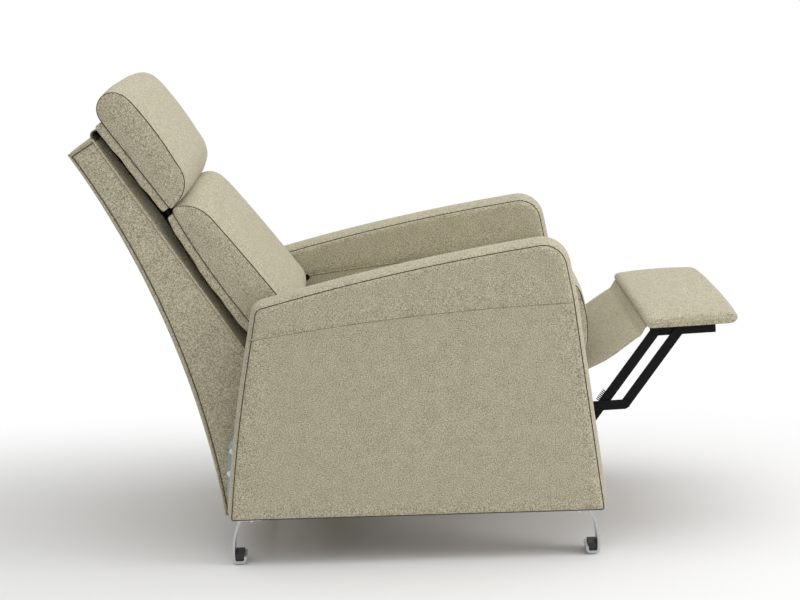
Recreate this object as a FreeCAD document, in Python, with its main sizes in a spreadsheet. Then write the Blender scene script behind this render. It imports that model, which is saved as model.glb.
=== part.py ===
import FreeCAD, Part
import Sketcher
import math
import os
from types import SimpleNamespace
from FreeCAD import Placement, Rotation, Vector

# Upholstered push-back recliner, reclined, with its footrest out.
# +X is the way the sitter faces, +Y is the sitter's left, +Z is up, the floor is at zero.

# Driving sizes, in millimetres, and angles, in degrees
sizes = {
    # arms
    "well_half_width": 285.0,
    "arm_thickness": 80.0,
    "arm_rear_place": -350.0,
    "arm_base_length": 731.0,
    "arm_clearance": 94.0,
    "arm_rise": 527.0,
    "arm_crown": 9.0,
    "arm_padding": 16.0,
    "core_thickness": 44.0,
    "core_window_height": 120.0,
    "core_window_width": 130.0,
    # legs and glides
    "leg_thickness": 5.0,
    "leg_width": 52.0,
    "leg_bow": 12.0,
    "leg_bend": 6.0,
    "leg_flange": 45.0,
    "leg_foot": 22.0,
    "leg_lip": 14.0,
    "rear_leg_inset": 14.0,
    "front_leg_inset": 24.0,
    "glide_sole": 3.0,
    "glide_sole_width": 20.0,
    "glide_stem_width": 8.0,
    "glide_height": 22.0,
    "glide_width": 44.0,
    "bolt_head_diameter": 13.0,
    "bolt_head_height": 4.0,
    # steel plates, links and pins
    "plate_thickness": 3.5,
    "layer_gap": 0.8,
    "link_width": 19.0,
    "swing_width": 26.0,
    "pin_diameter": 10.0,
    "pin_clearance": 0.05,
    "nut_width": 16.0,
    "small_nut_width": 12.0,
    "nut_height": 2.4,
    "corner_width": 8.0,
    "rest_gap": 0.3,
    # recline mechanism
    "base_pivot_height": 150.0,
    "front_swing_place": 136.0,
    "rear_swing_place": -114.0,
    "swing_length": 130.0,
    "swing_lean": 16.0,
    "back_turn": 22.0,
    "guide_place": -244.0,
    "guide_height": 480.0,
    "guide_slot_play": 1.2,
    "base_plate_height": 62.0,
    "plate_margin": 18.0,
    "cross_tube_diameter": 18.0,
    # cross rails of the base
    "rail_depth": 30.0,
    "rail_height": 48.0,
    "rail_lift": 6.0,
    "front_rail_place": 56.0,
    "rear_rail_place": -284.0,
    # footrest linkage
    "fold_pivot_place": 265.0,
    "fold_pivot_height": 275.9,
    "lower_link_angle": 2.0,
    "lower_link_reach": 121.5,
    "link_pitch": 47.5,
    "long_link_angle": 53.5,
    "long_link_upper": 181.0,
    "long_link_lower": 50.0,
    "fold_angle": 85.5,
    "long_link_turn": 92.0,
    "drive_link_length": 120.0,
    "drive_pin_diameter": 7.0,
    "drive_pin_play": 1.6,
    # footrest
    "bracket_length": 130.0,
    "bracket_drop": 9.0,
    "bracket_rise": 11.0,
    "bracket_flange": 24.0,
    "board_thickness": 6.0,
    "board_inset": 16.0,
    "pad_rear_reach": 19.0,
    "pad_length": 182.0,
    "pad_height": 22.0,
    "pad_crown": 8.0,
    "pad_side_clearance": 4.0,
    "flap_thickness": 2.4,
    "flap_inset": 12.0,
    # seat
    "seat_front_place": 357.0,
    "seat_bottom_height": 388.0,
    "seat_length": 536.0,
    "seat_height": 150.0,
    "seat_tilt": 10.5,
    "seat_crown": 12.0,
    "seat_side_clearance": 13.0,
    "seat_rail_height": 42.0,
    "seat_rail_thickness": 22.0,
    "seat_rail_setback": 14.0,
    "seat_rail_length": 512.0,
    "webbing_thickness": 2.0,
    "webbing_width": 60.0,
    # back
    "back_seat_setback": 58.8,
    "back_seat_rise": 126.4,
    "back_lean": 33.3,
    "back_length": 324.0,
    "back_depth": 76.0,
    "back_crown": 13.0,
    "back_top_crown": 10.0,
    "back_half_width": 272.0,
    "board_depth": 16.0,
    "board_side_inset": 1.0,
    # headrest
    "head_gap": 6.7,
    "head_lean": 35.9,
    "head_length": 250.0,
    "head_depth": 72.0,
    "head_crown": 12.0,
    "head_board_length": 212.0,
    "hinge_room": 11.0,
    "hinge_leaf_length": 64.0,
    "hinge_leaf_width": 20.0,
    "hinge_leaf_thickness": 2.5,
    "hinge_place": 240.0,
    "hinge_pin_diameter": 6.0,
    "hinge_barrel_diameter": 13.0,
    "gusset_thickness": 2.0,
    # outer back shell
    "shell_gap": 28.0,
    "shell_base_place": -374.5,
    "shell_base_height": 77.0,
    "shell_lean": 20.5735,
    "shell_rise": 730.0,
    "shell_bow": 42.0,
    "shell_top_fall": 3.1,
    "shell_crown": 8.0,
    "shell_wall": 24.0,
    "wing_wall": 20.0,
    "wing_low_reach": 50.0,
    "wing_foot_place": -299.0,
    "wing_foot_height": 95.0,
    "shell_border": 22.0,
    "post_width": 30.0,
    "post_place": 190.0,
    # zinc plated back brackets
    "bracket_tail_place": -364.0,
    "bracket_tail_height": 113.0,
    "bracket_arm_width": 30.0,
}

doc = FreeCAD.newDocument("Recliner")
sheet = doc.addObject("Spreadsheet::Sheet", "Sizes")
for row, (alias, value) in enumerate(sizes.items(), start=1):
    sheet.set("A%d" % row, alias)
    sheet.set("B%d" % row, str(value))
    sheet.setAlias("B%d" % row, alias)
doc.recompute()
s = SimpleNamespace(**{alias: float(sheet.get(alias)) for alias in sizes})

# Shares that give the outlines, each of the two sizes named beside it
# Largest turn that one straight cut makes at a clipped corner, in degrees
clip_turn = 70.0
# arm: (arm_base_length, arm_rise, way that the crown pushes the point, in degrees) from the lower rear
# corner; a pair of points is an arc by way of the first
arm_shares = [
    (0.0, 0.0, 180.0),
    ((0.0295, 0.3397, 180.0), (0.0725, 0.6774, 180.0)),
    (0.0848, 0.7704, 135.0),
    ((0.0903, 0.7894, 135.0), (0.1053, 0.7989, 135.0)),
    ((0.4624, 0.9137, 90.0), (0.829, 0.9991, 90.0)),
    ((0.8837, 0.9829, 45.0), (0.907, 0.9317, 0.0)),
    (0.9261, 0.7913, 0.0),
    (1.0, 0.0, 0.0),
]
# timber core: (arm_base_length, arm_rise), before its padding is taken off
core_shares = [(0.0, 0.0), (0.09, 0.80), (0.895, 0.975), (0.925, 0.80), (1.0, 0.0)]
core_window_shares = [(0.27, 0.36), (0.51, 0.36), (0.75, 0.36)]
# seat cushion: (seat_length towards the rear, seat_height) from the lower front corner
seat_shares = [
    (0.002, 0.0),
    ((-0.009, 0.347), (0.011, 0.747)),
    ((0.028, 0.907), (0.0765, 0.987)),
    ((0.524, 0.727), (0.953, 0.347)),
    ((0.991, 0.28), (1.002, 0.16)),
    (1.013, -0.667),
]
# back cushion: (back_length up the back, back_depth forward) from its lower rear corner
back_shares = [
    (0.0, 0.0),
    ((0.5, -0.118), (0.985, 0.0)),
    (0.99, 0.08),
    ((0.965, 0.43), (0.85, 0.73)),
    ((0.447, 0.888), (0.052, 1.0)),
    ((0.018, 0.947), (0.008, 0.816)),
]
# head cushion: (head_length up the headrest, head_depth forward) from its lower rear corner
head_shares = [
    (0.014, 0.0),
    (0.888, 0.0),
    ((0.992, 0.236), (1.0, 0.694)),
    ((0.952, 0.861), (0.84, 0.986)),
    ((0.512, 1.007), (0.24, 0.924)),
    ((0.108, 0.806), (0.036, 0.444)),
]
# footrest pad: (pad_length forward, pad_height up) from its lower rear corner
pad_shares = [
    (0.02, 0.0),
    ((-0.006, 0.4), (0.022, 0.78)),
    ((0.49, 1.0), (0.955, 0.9)),
    ((1.006, 0.5), (0.965, 0.08)),
    (0.915, 0.0),
]
# back bracket: (place, its corners about that place), in arm widths
bracket_shares = (
    ("guide", ((-0.55, 0.6), (0.45, 0.6), (0.75, -0.7))),
    ("hinge", ((0.65, 0.4), (0.5, -0.5), (-0.3, -0.75))),
    ("tail", ((2.4, 2.6), (1.15, 0.0), (0.0, 0.0), (0.35, 3.9))),
    ("hinge", ((-2.0, 1.4),)),
)
bracket_bolt_shares = (("tail", ((0.3, 1.8), (0.55, 3.3))), ("hinge", ((-2.3, -0.2),)))
# lower half of each core, as a share of its length and of its height
core_half = 0.5
# crown of a cushion: where it starts up its height, and its share at the seams
crown_start = 0.2
crown_end = 0.95
crown_low_share = 0.3
seat_front_share = 0.4
seat_front_line = 0.02
back_lift_start = 0.8
head_lift_share = 0.5
leg_bow_share = 0.86
leg_bolt_share = 0.55
base_bolt_shares = (0.125, 0.375, 0.625, 0.875)
tube_share = 0.45
flap_drop_share = 0.75
post_share_low = 0.06
post_share_top = 0.9
gusset_share = 0.4
# calf flap: (way from its seat end to its pad end, sag as a share of that way), two arcs
flap_shares = [(0.0, 0.0), ((0.27, -0.032), (0.58, -0.03)), ((0.8, -0.01), (1.0, 0.0))]
# rows across a cushion's or a shell's width: (share of the half width, share of the crown)
cushion_rows = ((-1.0, 0.0), (-0.87, 0.6), (-0.45, 1.0), (0.45, 1.0), (0.87, 0.6), (1.0, 0.0))
seat_rows = ((-1.0, 0.0), (-0.88, 0.55), (-0.5, 0.9), (0.0, 1.0), (0.5, 0.9), (0.88, 0.55), (1.0, 0.0))
# rows of the arms, and of the outer back shell
arm_rows = ((-1.0, 0.0), (-0.6, 0.72), (0.0, 1.0), (0.6, 0.72), (1.0, 0.0))
shell_rows = ((-1.0, 1.0), (-0.8, 0.3), (-0.4, 0.05), (0.4, 0.05), (0.8, 0.3), (1.0, 1.0))

sides = (("right", -1.0), ("left", 1.0))
kept = []


def keep(obj, label):
    obj.Label = label
    kept.append(obj)
    return obj


def bind(obj, **bindings):
    for name, expression in bindings.items():
        obj.setExpression(name, expression)


def spot(x, z, y=0.0):
    return Vector(x, y, z)


def toward(angle, length):
    # a step of this length in the XZ plane, the angle rising from +X to +Z
    return Vector(length * math.cos(math.radians(angle)), 0.0, length * math.sin(math.radians(angle)))


def layer_outer(index):
    # steel layers count inwards from the inner face of the arm
    return s.well_half_width - index * (s.plate_thickness + s.layer_gap)


def layer_inner(index):
    return layer_outer(index) - s.plate_thickness


def layer_middle(index):
    return layer_outer(index) - s.plate_thickness / 2


def closed_wire(steps, place, shift=0.0):
    # steps are points, or (way point, end point) for arcs; place turns a pair into a vector
    first = place(*steps[0])
    here = first
    edges = []
    for step in steps[1:]:
        if isinstance(step[0], tuple):
            way, end = place(*step[0]), place(*step[1])
            edges.append(Part.Arc(here, way, end).toShape())
        else:
            end = place(*step)
            edges.append(Part.LineSegment(here, end).toShape())
        here = end
    edges.append(Part.LineSegment(here, first).toShape())
    wire = Part.Wire(edges)
    wire.translate(Vector(0.0, shift, 0.0))
    return wire


def prism(wire, low, high):
    # a wire in the XZ plane carried from one distance along Y to the other
    base = wire.copy()
    base.translate(Vector(0.0, low, 0.0))
    return Part.Face(base).extrude(Vector(0.0, high - low, 0.0))


def crowned(half_width, outline, crown, rows=cushion_rows, middle=0.0):
    # loft across the width: seams at both sides, full height from near the edge inwards
    wires = [outline(crown * rise, middle + half_width * across) for across, rise in rows]
    return Part.makeLoft(wires, True, True)


def feature(label, shape):
    obj = doc.addObject("Part::Feature", label)
    obj.Shape = shape
    return keep(obj, label)


def group(label, members):
    obj = doc.addObject("Part::Compound", label)
    obj.Links = members
    return keep(obj, label)


def cylinder_y(name, x, z, low, high, diameter):
    # a round bar along Y, its diameter bound to a size
    part = doc.addObject("Part::Cylinder", name)
    bind(part, Radius="Sizes.%s / 2" % diameter)
    part.Height = high - low
    part.Placement = Placement(spot(x, z, high), Rotation(Vector(1, 0, 0), 90))
    return part


def hexagon_y(name, x, z, low, high, width):
    # a bolt head or nut along Y, its width over the corners bound to a size
    part = doc.addObject("Part::Prism", name)
    part.Polygon = 6
    bind(part, Circumradius="Sizes.%s / 2" % width)
    part.Height = high - low
    part.Placement = Placement(spot(x, z, high), Rotation(Vector(1, 0, 0), 90))
    return part


def origin_plane(body, role):
    return next(item for item in body.Origin.OriginFeatures if item.Role == role)


def side_sketch(body, name):
    # a sketch in the XZ plane: its x is +X and its y is +Z
    sketch = body.newObject("Sketcher::SketchObject", name)
    sketch.AttachmentSupport = (origin_plane(body, "XZ_Plane"), [""])
    sketch.MapMode = "FlatFace"
    return sketch


def pad_both_ways(body, sketch, name, thickness):
    pad = body.newObject("PartDesign::Pad", name)
    pad.Profile = sketch
    pad.SideType = "Symmetric"
    bind(pad, Length="Sizes.%s" % thickness)
    sketch.Visibility = False
    return pad


def drill(body, name, places, diameter, depth="plate_thickness"):
    # round holes right through, all of one size
    sketch = side_sketch(body, name + "_circles")
    for index, (x, z) in enumerate(places):
        circle = Part.Circle(Vector(x, z, 0), Vector(0, 0, 1), sizes["pin_diameter"] / 2)
        sketch.addGeometry(circle, False)
        sketch.addConstraint(Sketcher.Constraint("DistanceX", -1, 1, index, 3, x))
        sketch.addConstraint(Sketcher.Constraint("DistanceY", -1, 1, index, 3, z))
        ring = sketch.addConstraint(Sketcher.Constraint("Diameter", index, sizes["pin_diameter"]))
        sketch.setExpression("Constraints[%d]" % ring, diameter)
    doc.recompute()
    before = body.Shape.Volume
    pocket = body.newObject("PartDesign::Pocket", name)
    pocket.Profile = sketch
    pocket.SideType = "Symmetric"
    bind(pocket, Length="Sizes.%s * 3" % depth)
    doc.recompute()
    if body.Shape.Volume >= before:
        raise RuntimeError("nothing was cut by " + name)


# Studs stand proud of the outermost plate that turns on them by the pin clearance
proud = s.pin_clearance
pin_hole = "Sizes.pin_diameter + 2 * Sizes.pin_clearance"
drive_hole = "Sizes.drive_pin_diameter + 2 * Sizes.drive_pin_play"


def hull(points):
    # the corners of the smallest convex outline round the points, in turn
    def chain(run):
        found = []
        for point in run:
            while len(found) > 1 and (found[-1] - found[-2]).cross(point - found[-1]).y >= 0:
                found.pop()
            found.append(point)
        return found[:-1]

    ordered = sorted(points, key=lambda point: (point.x, point.z))
    return chain(ordered) + chain(ordered[::-1])


def corner_turns(corners):
    # for each corner, the outward angles at which the outline starts and ends its turn
    turns = []
    for index, corner in enumerate(corners):
        run = corners[(index + 1) % len(corners)] - corner
        turns.append(math.atan2(run.z, run.x) - math.pi / 2)
    pairs = []
    for index, end in enumerate(turns):
        start = turns[index - 1]
        pairs.append((start, end if end > start else end + 2 * math.pi))
    return pairs


def clipped_outline(sketch, points, radius):
    # straight cuts about the corners of the points' hull, all at one distance from them
    corners = hull(points)
    outline = []
    for corner, (start, end) in zip(corners, corner_turns(corners)):
        cuts = max(1, round((end - start) / math.radians(clip_turn)))
        for index in range(cuts + 1):
            angle = start + (end - start) * index / cuts
            outline.append(corner + spot(radius * math.cos(angle), radius * math.sin(angle)))
    polygon(sketch, outline)


def rounded_outline(sketch, points, radius):
    # arcs of one radius about the corners of the points' hull, joined by tangent lines
    corners = hull(points)
    count = len(corners)
    up = Vector(0, 0, 1)
    for index, (start, end) in enumerate(corner_turns(corners)):
        corner = corners[index]
        after = corners[(index + 1) % count]
        circle = Part.Circle(Vector(corner.x, corner.z, 0), up, radius)
        sketch.addGeometry(Part.ArcOfCircle(circle, start, end), False)
        step = Vector(math.cos(end), math.sin(end), 0) * radius
        line = Part.LineSegment(Vector(corner.x, corner.z, 0) + step, Vector(after.x, after.z, 0) + step)
        sketch.addGeometry(line, False)
    for index, corner in enumerate(corners):
        arc = 2 * index
        sketch.addConstraint(Sketcher.Constraint("Tangent", arc, 2, arc + 1, 1))
        sketch.addConstraint(Sketcher.Constraint("Tangent", arc + 1, 2, (arc + 2) % (2 * count), 1))
        sketch.addConstraint(Sketcher.Constraint("DistanceX", -1, 1, arc, 3, corner.x))
        sketch.addConstraint(Sketcher.Constraint("DistanceY", -1, 1, arc, 3, corner.z))
        sketch.addConstraint(Sketcher.Constraint("Radius", arc, radius))


def link_bar(label, start, end, layer, sign, width="link_width", outline=rounded_outline):
    # flat bar about two pivots; its own x runs from the first to the second
    run = end - start
    body = doc.addObject("PartDesign::Body", label)
    sketch = side_sketch(body, label + "_outline")
    outline(sketch, [spot(0.0, 0.0), spot(run.Length, 0.0)], getattr(s, width) / 2)
    pad_both_ways(body, sketch, label + "_bar", "plate_thickness")
    turn = Rotation(Vector(0, 1, 0), -math.degrees(math.atan2(run.z, run.x)))
    body.Placement = Placement(spot(start.x, start.z, sign * layer_middle(layer)), turn)
    return body


def hull_plate(label, outlines, layer, sign, radius):
    # flat plate made of hulls with clipped corners, one for each list of points
    body = doc.addObject("PartDesign::Body", label)
    for index, points in enumerate(outlines):
        sketch = side_sketch(body, "%s_outline_%d" % (label, index))
        clipped_outline(sketch, points, radius)
        pad_both_ways(body, sketch, "%s_pad_%d" % (label, index), "plate_thickness")
    body.Placement = Placement(Vector(0.0, sign * layer_middle(layer), 0.0), Rotation())
    return keep(body, label)


def stud(body, name, x, z, layer, last, sign, diameter="pin_diameter"):
    # round stud on a plate, from the plate's middle to just past the last layer that turns on it
    sketch = side_sketch(body, name + "_circle")
    sketch.addGeometry(Part.Circle(Vector(x, z, 0), Vector(0, 0, 1), getattr(s, diameter) / 2), False)
    sketch.addConstraint(Sketcher.Constraint("DistanceX", -1, 1, 0, 3, x))
    sketch.addConstraint(Sketcher.Constraint("DistanceY", -1, 1, 0, 3, z))
    ring = sketch.addConstraint(Sketcher.Constraint("Diameter", 0, getattr(s, diameter)))
    sketch.setExpression("Constraints[%d]" % ring, "Sizes." + diameter)
    inward = last > layer
    end = layer_inner(last) - proud if inward else layer_outer(last) + proud
    pad = body.newObject("PartDesign::Pad", name)
    pad.Profile = sketch
    pad.Length = abs(layer_middle(layer) - end)
    # the sketch faces -Y
    pad.Reversed = (sign < 0) == inward
    doc.recompute()


def nut(name, point, layer, last, sign, width="nut_width"):
    # closed lock nut on the end of a stud
    inward = last > layer
    near = layer_inner(last) - proud if inward else layer_outer(last) + proud
    far = near - s.nut_height if inward else near + s.nut_height
    low, high = sorted((sign * near, sign * far))
    return hexagon_y(name, point.x, point.z, low, high, width)


def polygon(sketch, corners):
    # straight lines from corner to corner, each corner placed from the origin
    first = sketch.GeometryCount
    count = len(corners)
    for index, corner in enumerate(corners):
        after = corners[(index + 1) % count]
        line = Part.LineSegment(Vector(corner.x, corner.z, 0), Vector(after.x, after.z, 0))
        sketch.addGeometry(line, False)
    for index, corner in enumerate(corners):
        after = first + (index + 1) % count
        sketch.addConstraint(Sketcher.Constraint("Coincident", first + index, 2, after, 1))
        sketch.addConstraint(Sketcher.Constraint("DistanceX", -1, 1, first + index, 1, corner.x))
        sketch.addConstraint(Sketcher.Constraint("DistanceY", -1, 1, first + index, 1, corner.z))


def plate(label, corners, layer, sign, thickness="plate_thickness", depth=None, clip=None):
    # flat plate in the XZ plane with the given corners, clipped alike
    body = doc.addObject("PartDesign::Body", label)
    sketch = side_sketch(body, label + "_outline")
    polygon(sketch, corners)
    pad = pad_both_ways(body, sketch, label + "_pad", thickness)
    doc.recompute()
    if clip is not None:
        names = []
        for index, edge in enumerate(pad.Shape.Edges, start=1):
            direction = edge.tangentAt(edge.FirstParameter)
            if abs(direction.x) + abs(direction.z) < abs(direction.y):
                names.append("Edge%d" % index)
        chamfer = body.newObject("PartDesign::Chamfer", label + "_corners")
        chamfer.Base = (pad, names)
        bind(chamfer, Size="Sizes.%s" % clip)
    middle = layer_middle(layer) if depth is None else depth
    body.Placement = Placement(Vector(0.0, sign * middle, 0.0), Rotation())
    doc.recompute()
    return body


# Pivots of the recline mechanism, in the XZ plane
front_base = spot(s.front_swing_place, s.base_pivot_height)
rear_base = spot(s.rear_swing_place, s.base_pivot_height)
swing_run = toward(90.0 - s.swing_lean, s.swing_length)
front_top = front_base + swing_run
rear_top = rear_base + swing_run
guide = spot(s.guide_place, s.guide_height)
seat_travel = 2 * s.swing_length * math.sin(math.radians(s.swing_lean))
lever = seat_travel / (2 * math.sin(math.radians(s.back_turn / 2)))
hinge = guide + toward(-90.0 + s.back_turn / 2, lever)
# the guide pin drops this far down its slot in the middle of the travel
swing_lift = s.swing_length * (1 - math.cos(math.radians(s.swing_lean)))
lever_lift = lever * (1 - math.cos(math.radians(s.back_turn / 2)))
slot_run = swing_lift + lever_lift

# Pivots of the footrest linkage, footrest out
fold_pivot = spot(s.fold_pivot_place, s.fold_pivot_height)
crossing = fold_pivot + toward(s.lower_link_angle, s.lower_link_reach)
front_pivot = crossing + toward(s.lower_link_angle, s.link_pitch)
rear_mount = crossing + toward(s.long_link_angle, s.long_link_upper)
front_mount = rear_mount + toward(s.lower_link_angle, s.link_pitch)
drive_end = crossing - toward(s.long_link_angle, s.long_link_lower)
# the same end with the footrest folded: the drive pivot is equally far from both
folded_crossing = fold_pivot + toward(s.lower_link_angle - s.fold_angle, s.lower_link_reach)
folded_angle = s.long_link_angle - s.fold_angle + s.long_link_turn
folded_end = folded_crossing - toward(folded_angle, s.long_link_lower)
chord = folded_end - drive_end
half_chord = chord.Length / 2
square = Vector(chord.z, 0.0, -chord.x)
square.normalize()
drive_reach = math.sqrt(s.drive_link_length ** 2 - half_chord ** 2)
drive_pivot = (drive_end + folded_end) / 2 + square * drive_reach


def angle_of(run):
    return math.degrees(math.atan2(run.z, run.x))


drive_turn = angle_of(drive_end - drive_pivot) - angle_of(folded_end - drive_pivot)
drive_ratio = drive_turn / s.fold_angle
link_ratio = s.long_link_turn / s.fold_angle

# Arms
arm_middle = s.well_half_width + s.arm_thickness / 2
arm_rear = s.arm_rear_place


def arm_outline(grow, depth):
    # the seam line, pushed outwards by the crown
    def place(along, up, push):
        seam = spot(arm_rear + along * s.arm_base_length, s.arm_clearance + up * s.arm_rise)
        return seam + toward(push, grow)

    return closed_wire(arm_shares, place, depth)


def core_corner(along, up):
    across = s.arm_padding if along < core_half else -s.arm_padding
    down = s.arm_padding if up > core_half else 0.0
    return spot(arm_rear + along * s.arm_base_length + across, s.arm_clearance + up * s.arm_rise - down)


core_corners = [core_corner(*share) for share in core_shares]
core_wire = Part.makePolygon(core_corners + core_corners[:1])

half_core = s.core_thickness / 2 + s.rest_gap
core_windows = []
for along, up in core_window_shares:
    middle = spot(arm_rear + along * s.arm_base_length, s.arm_clearance + up * s.arm_rise)
    across, high = s.core_window_width / 2, s.core_window_height / 2
    core_windows.append([
        middle + spot(-across, -high),
        middle + spot(across, -high),
        middle + spot(across, high),
        middle + spot(-across, high),
    ])
for side, sign in sides:
    cover = crowned(s.arm_thickness / 2, arm_outline, s.arm_crown, arm_rows, sign * arm_middle)
    cavity = prism(core_wire, sign * arm_middle - half_core, sign * arm_middle + half_core)
    feature("arm_cover_" + side, cover.cut(cavity))
    core_name = "arm_core_" + side
    core = keep(plate(core_name, core_corners, 0, sign, "core_thickness", arm_middle), core_name)
    sketch = side_sketch(core, "arm_core_windows_outline_" + side)
    for corners in core_windows:
        polygon(sketch, corners)
    windows = core.newObject("PartDesign::Pocket", "arm_core_windows_" + side)
    windows.Profile = sketch
    windows.SideType = "Symmetric"
    bind(windows, Length="Sizes.core_thickness * 2")

# Legs: a strip bent from a flange under the arm, bowed outwards, to a foot with an upturned lip
foot_middle = s.leg_bow - s.leg_foot / 2
foot_top = s.glide_sole + s.leg_thickness
glide_length = s.leg_foot - s.leg_thickness - 2 * s.rest_gap


def leg_strip(out):
    # the side view of the strip's upper and inner face, given its thickness, then its width
    top = s.arm_clearance
    low = foot_top
    side_x = s.leg_thickness / 2
    lip = s.leg_bow - s.leg_foot + side_x
    lip_rear = lip - s.leg_thickness
    bend = s.leg_bend + side_x
    inner = s.leg_bend - side_x
    near = bend * (1 - math.sqrt(0.5))
    tight = inner * (1 - math.sqrt(0.5))
    bowed = s.leg_bow * leg_bow_share
    half_up = (top + low) / 2
    outside = [
        (-s.leg_flange, top),
        (side_x - bend, top),
        ((side_x - near, top - near), (side_x, top - bend)),
        ((bowed + side_x, half_up), (s.leg_bow + side_x, low - s.leg_thickness + bend)),
        ((s.leg_bow + side_x - near, s.glide_sole + near), (s.leg_bow + side_x - bend, s.glide_sole)),
        (lip_rear + bend, s.glide_sole),
        ((lip_rear + near, s.glide_sole + near), (lip_rear, s.glide_sole + bend)),
        (lip_rear, s.glide_sole + s.leg_lip),
        (lip, s.glide_sole + s.leg_lip),
        (lip, low + inner),
        ((lip + tight, low + tight), (lip + inner, low)),
        (s.leg_bow - side_x - inner, low),
        ((s.leg_bow - side_x - tight, low + tight), (s.leg_bow - side_x, low + inner)),
        ((bowed - side_x, half_up), (-side_x, top - s.leg_thickness - inner)),
        ((-side_x - tight, top - s.leg_thickness - tight), (-side_x - inner, top - s.leg_thickness)),
        (-s.leg_flange, top - s.leg_thickness),
    ]
    strip = prism(closed_wire(outside, spot), -s.leg_width / 2, s.leg_width / 2)
    hole = s.glide_stem_width + 2 * s.rest_gap
    hole_corner = spot(foot_middle - hole / 2, 0.0, -hole / 2)
    strip = strip.cut(Part.makeBox(hole, hole, s.leg_lip, hole_corner))
    if out < 0:
        strip = strip.mirror(Vector(0, 0, 0), Vector(1, 0, 0))
    return strip


def centred_box(name, x, y, low, high, length, width):
    # a block about a vertical line, its width bound to a size
    block = doc.addObject("Part::Box", name)
    block.Length = length
    block.Height = high - low
    bind(block, Width="Sizes." + width)
    block.Placement = Placement(Vector(x - length / 2, y - getattr(s, width) / 2, low), Rotation())
    return block


rear_leg_place = arm_rear + s.rear_leg_inset
front_leg_place = arm_rear + s.arm_base_length - s.front_leg_inset
bolt_setback = s.leg_flange * leg_bolt_share
bolt_spread = s.leg_width / 4
glides = []
bolts = []
for end, place, out in (("rear", rear_leg_place, -1.0), ("front", front_leg_place, 1.0)):
    strips = []
    for side, sign in sides:
        strip = leg_strip(out)
        strip.translate(Vector(place, sign * arm_middle, 0.0))
        strips.append(strip)
        glide_x = place + out * foot_middle
        glide_y = sign * arm_middle
        name = end + "_" + side
        block_low = foot_top + s.leg_bend - s.leg_thickness / 2
        key_length = s.leg_foot - 2 * s.leg_bend
        glide = doc.addObject("Part::MultiFuse", "glide_" + name)
        glide.Shapes = [
            centred_box("glide_sole_" + name, glide_x, glide_y, 0.0, s.glide_sole - s.rest_gap,
                        s.glide_sole_width, "glide_sole_width"),
            centred_box("glide_stem_" + name, glide_x, glide_y, 0.0, s.glide_height,
                        s.glide_stem_width, "glide_stem_width"),
            centred_box("glide_block_" + name, glide_x, glide_y, block_low, s.glide_height,
                        glide_length, "glide_width"),
            centred_box("glide_key_" + name, glide_x, glide_y, foot_top + s.rest_gap, block_low,
                        key_length, "glide_width"),
        ]
        glides.append(glide)
        for step in (-bolt_spread, bolt_spread):
            bolt = doc.addObject("Part::Prism", "leg_bolt_" + name)
            bolt.Polygon = 6
            bind(bolt, Circumradius="Sizes.bolt_head_diameter / 2", Height="Sizes.bolt_head_height")
            bolt_z = s.arm_clearance - s.leg_thickness - s.bolt_head_height
            bolt_base = Vector(place - out * bolt_setback, glide_y + step, bolt_z)
            bolt.Placement = Placement(bolt_base, Rotation())
            bolts.append(bolt)
    feature(end + "_legs", Part.makeCompound(strips))
group("floor_glides", glides)

# Base: plates on the arms with the studs of the swing links, and the rails between the arms
half_plate = s.base_plate_height / 2 - s.corner_width
base_reach = s.swing_width / 2 + s.plate_margin - s.corner_width
base_points = [
    rear_base + spot(-base_reach, -half_plate),
    rear_base + spot(-base_reach, half_plate),
    front_base + spot(base_reach, half_plate),
    front_base + spot(base_reach, -half_plate),
]
for side, sign in sides:
    base = hull_plate("base_plate_" + side, [base_points], 0, sign, s.corner_width)
    for name, point in (("rear", rear_base), ("front", front_base)):
        label = "%s_%s" % (name, side)
        stud(base, "base_stud_" + label, point.x, point.z, 0, 1, sign)
        bolts.append(nut("base_nut_" + label, point, 0, 1, sign))
    near, far = layer_inner(0), layer_inner(0) - s.bolt_head_height / 2
    low, high = sorted((sign * near, sign * far))
    for share in base_bolt_shares:
        place = rear_base + (front_base - rear_base) * share
        bolts.append(hexagon_y("base_bolt_" + side, place.x, place.z, low, high, "bolt_head_diameter"))
group("frame_bolts", bolts)

# The front rail ends on the base plates, the rear rail on the arms
rail_z = s.arm_clearance + s.rail_lift
for name, place, half in (
    ("front_rail", s.front_rail_place, layer_inner(0)),
    ("rear_rail", s.rear_rail_place, s.well_half_width),
):
    rail = doc.addObject("Part::Box", name)
    bind(rail, Length="Sizes.rail_depth", Height="Sizes.rail_height")
    rail.Width = 2 * half
    rail.Placement = Placement(Vector(place, -half, rail_z), Rotation())
    keep(rail, name)


# Swing links, with a tube that ties the front pair
for name, low_pivot, high_pivot in (("front", front_base, front_top), ("rear", rear_base, rear_top)):
    bars = []
    for side, sign in sides:
        label = "%s_swing_link_%s" % (name, side)
        bar = link_bar(label, low_pivot, high_pivot, 1, sign, "swing_width", clipped_outline)
        drill(bar, label + "_holes", [(0.0, 0.0), (s.swing_length, 0.0)], pin_hole)
        bars.append(bar)
    group(name + "_swing_links", bars)
tube_spot = front_base + swing_run * tube_share
tube_half = layer_inner(1)
tube_name = "front_cross_tube"
tube = cylinder_y(tube_name, tube_spot.x, tube_spot.z, -tube_half, tube_half, "cross_tube_diameter")
keep(tube, tube_name)

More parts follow.
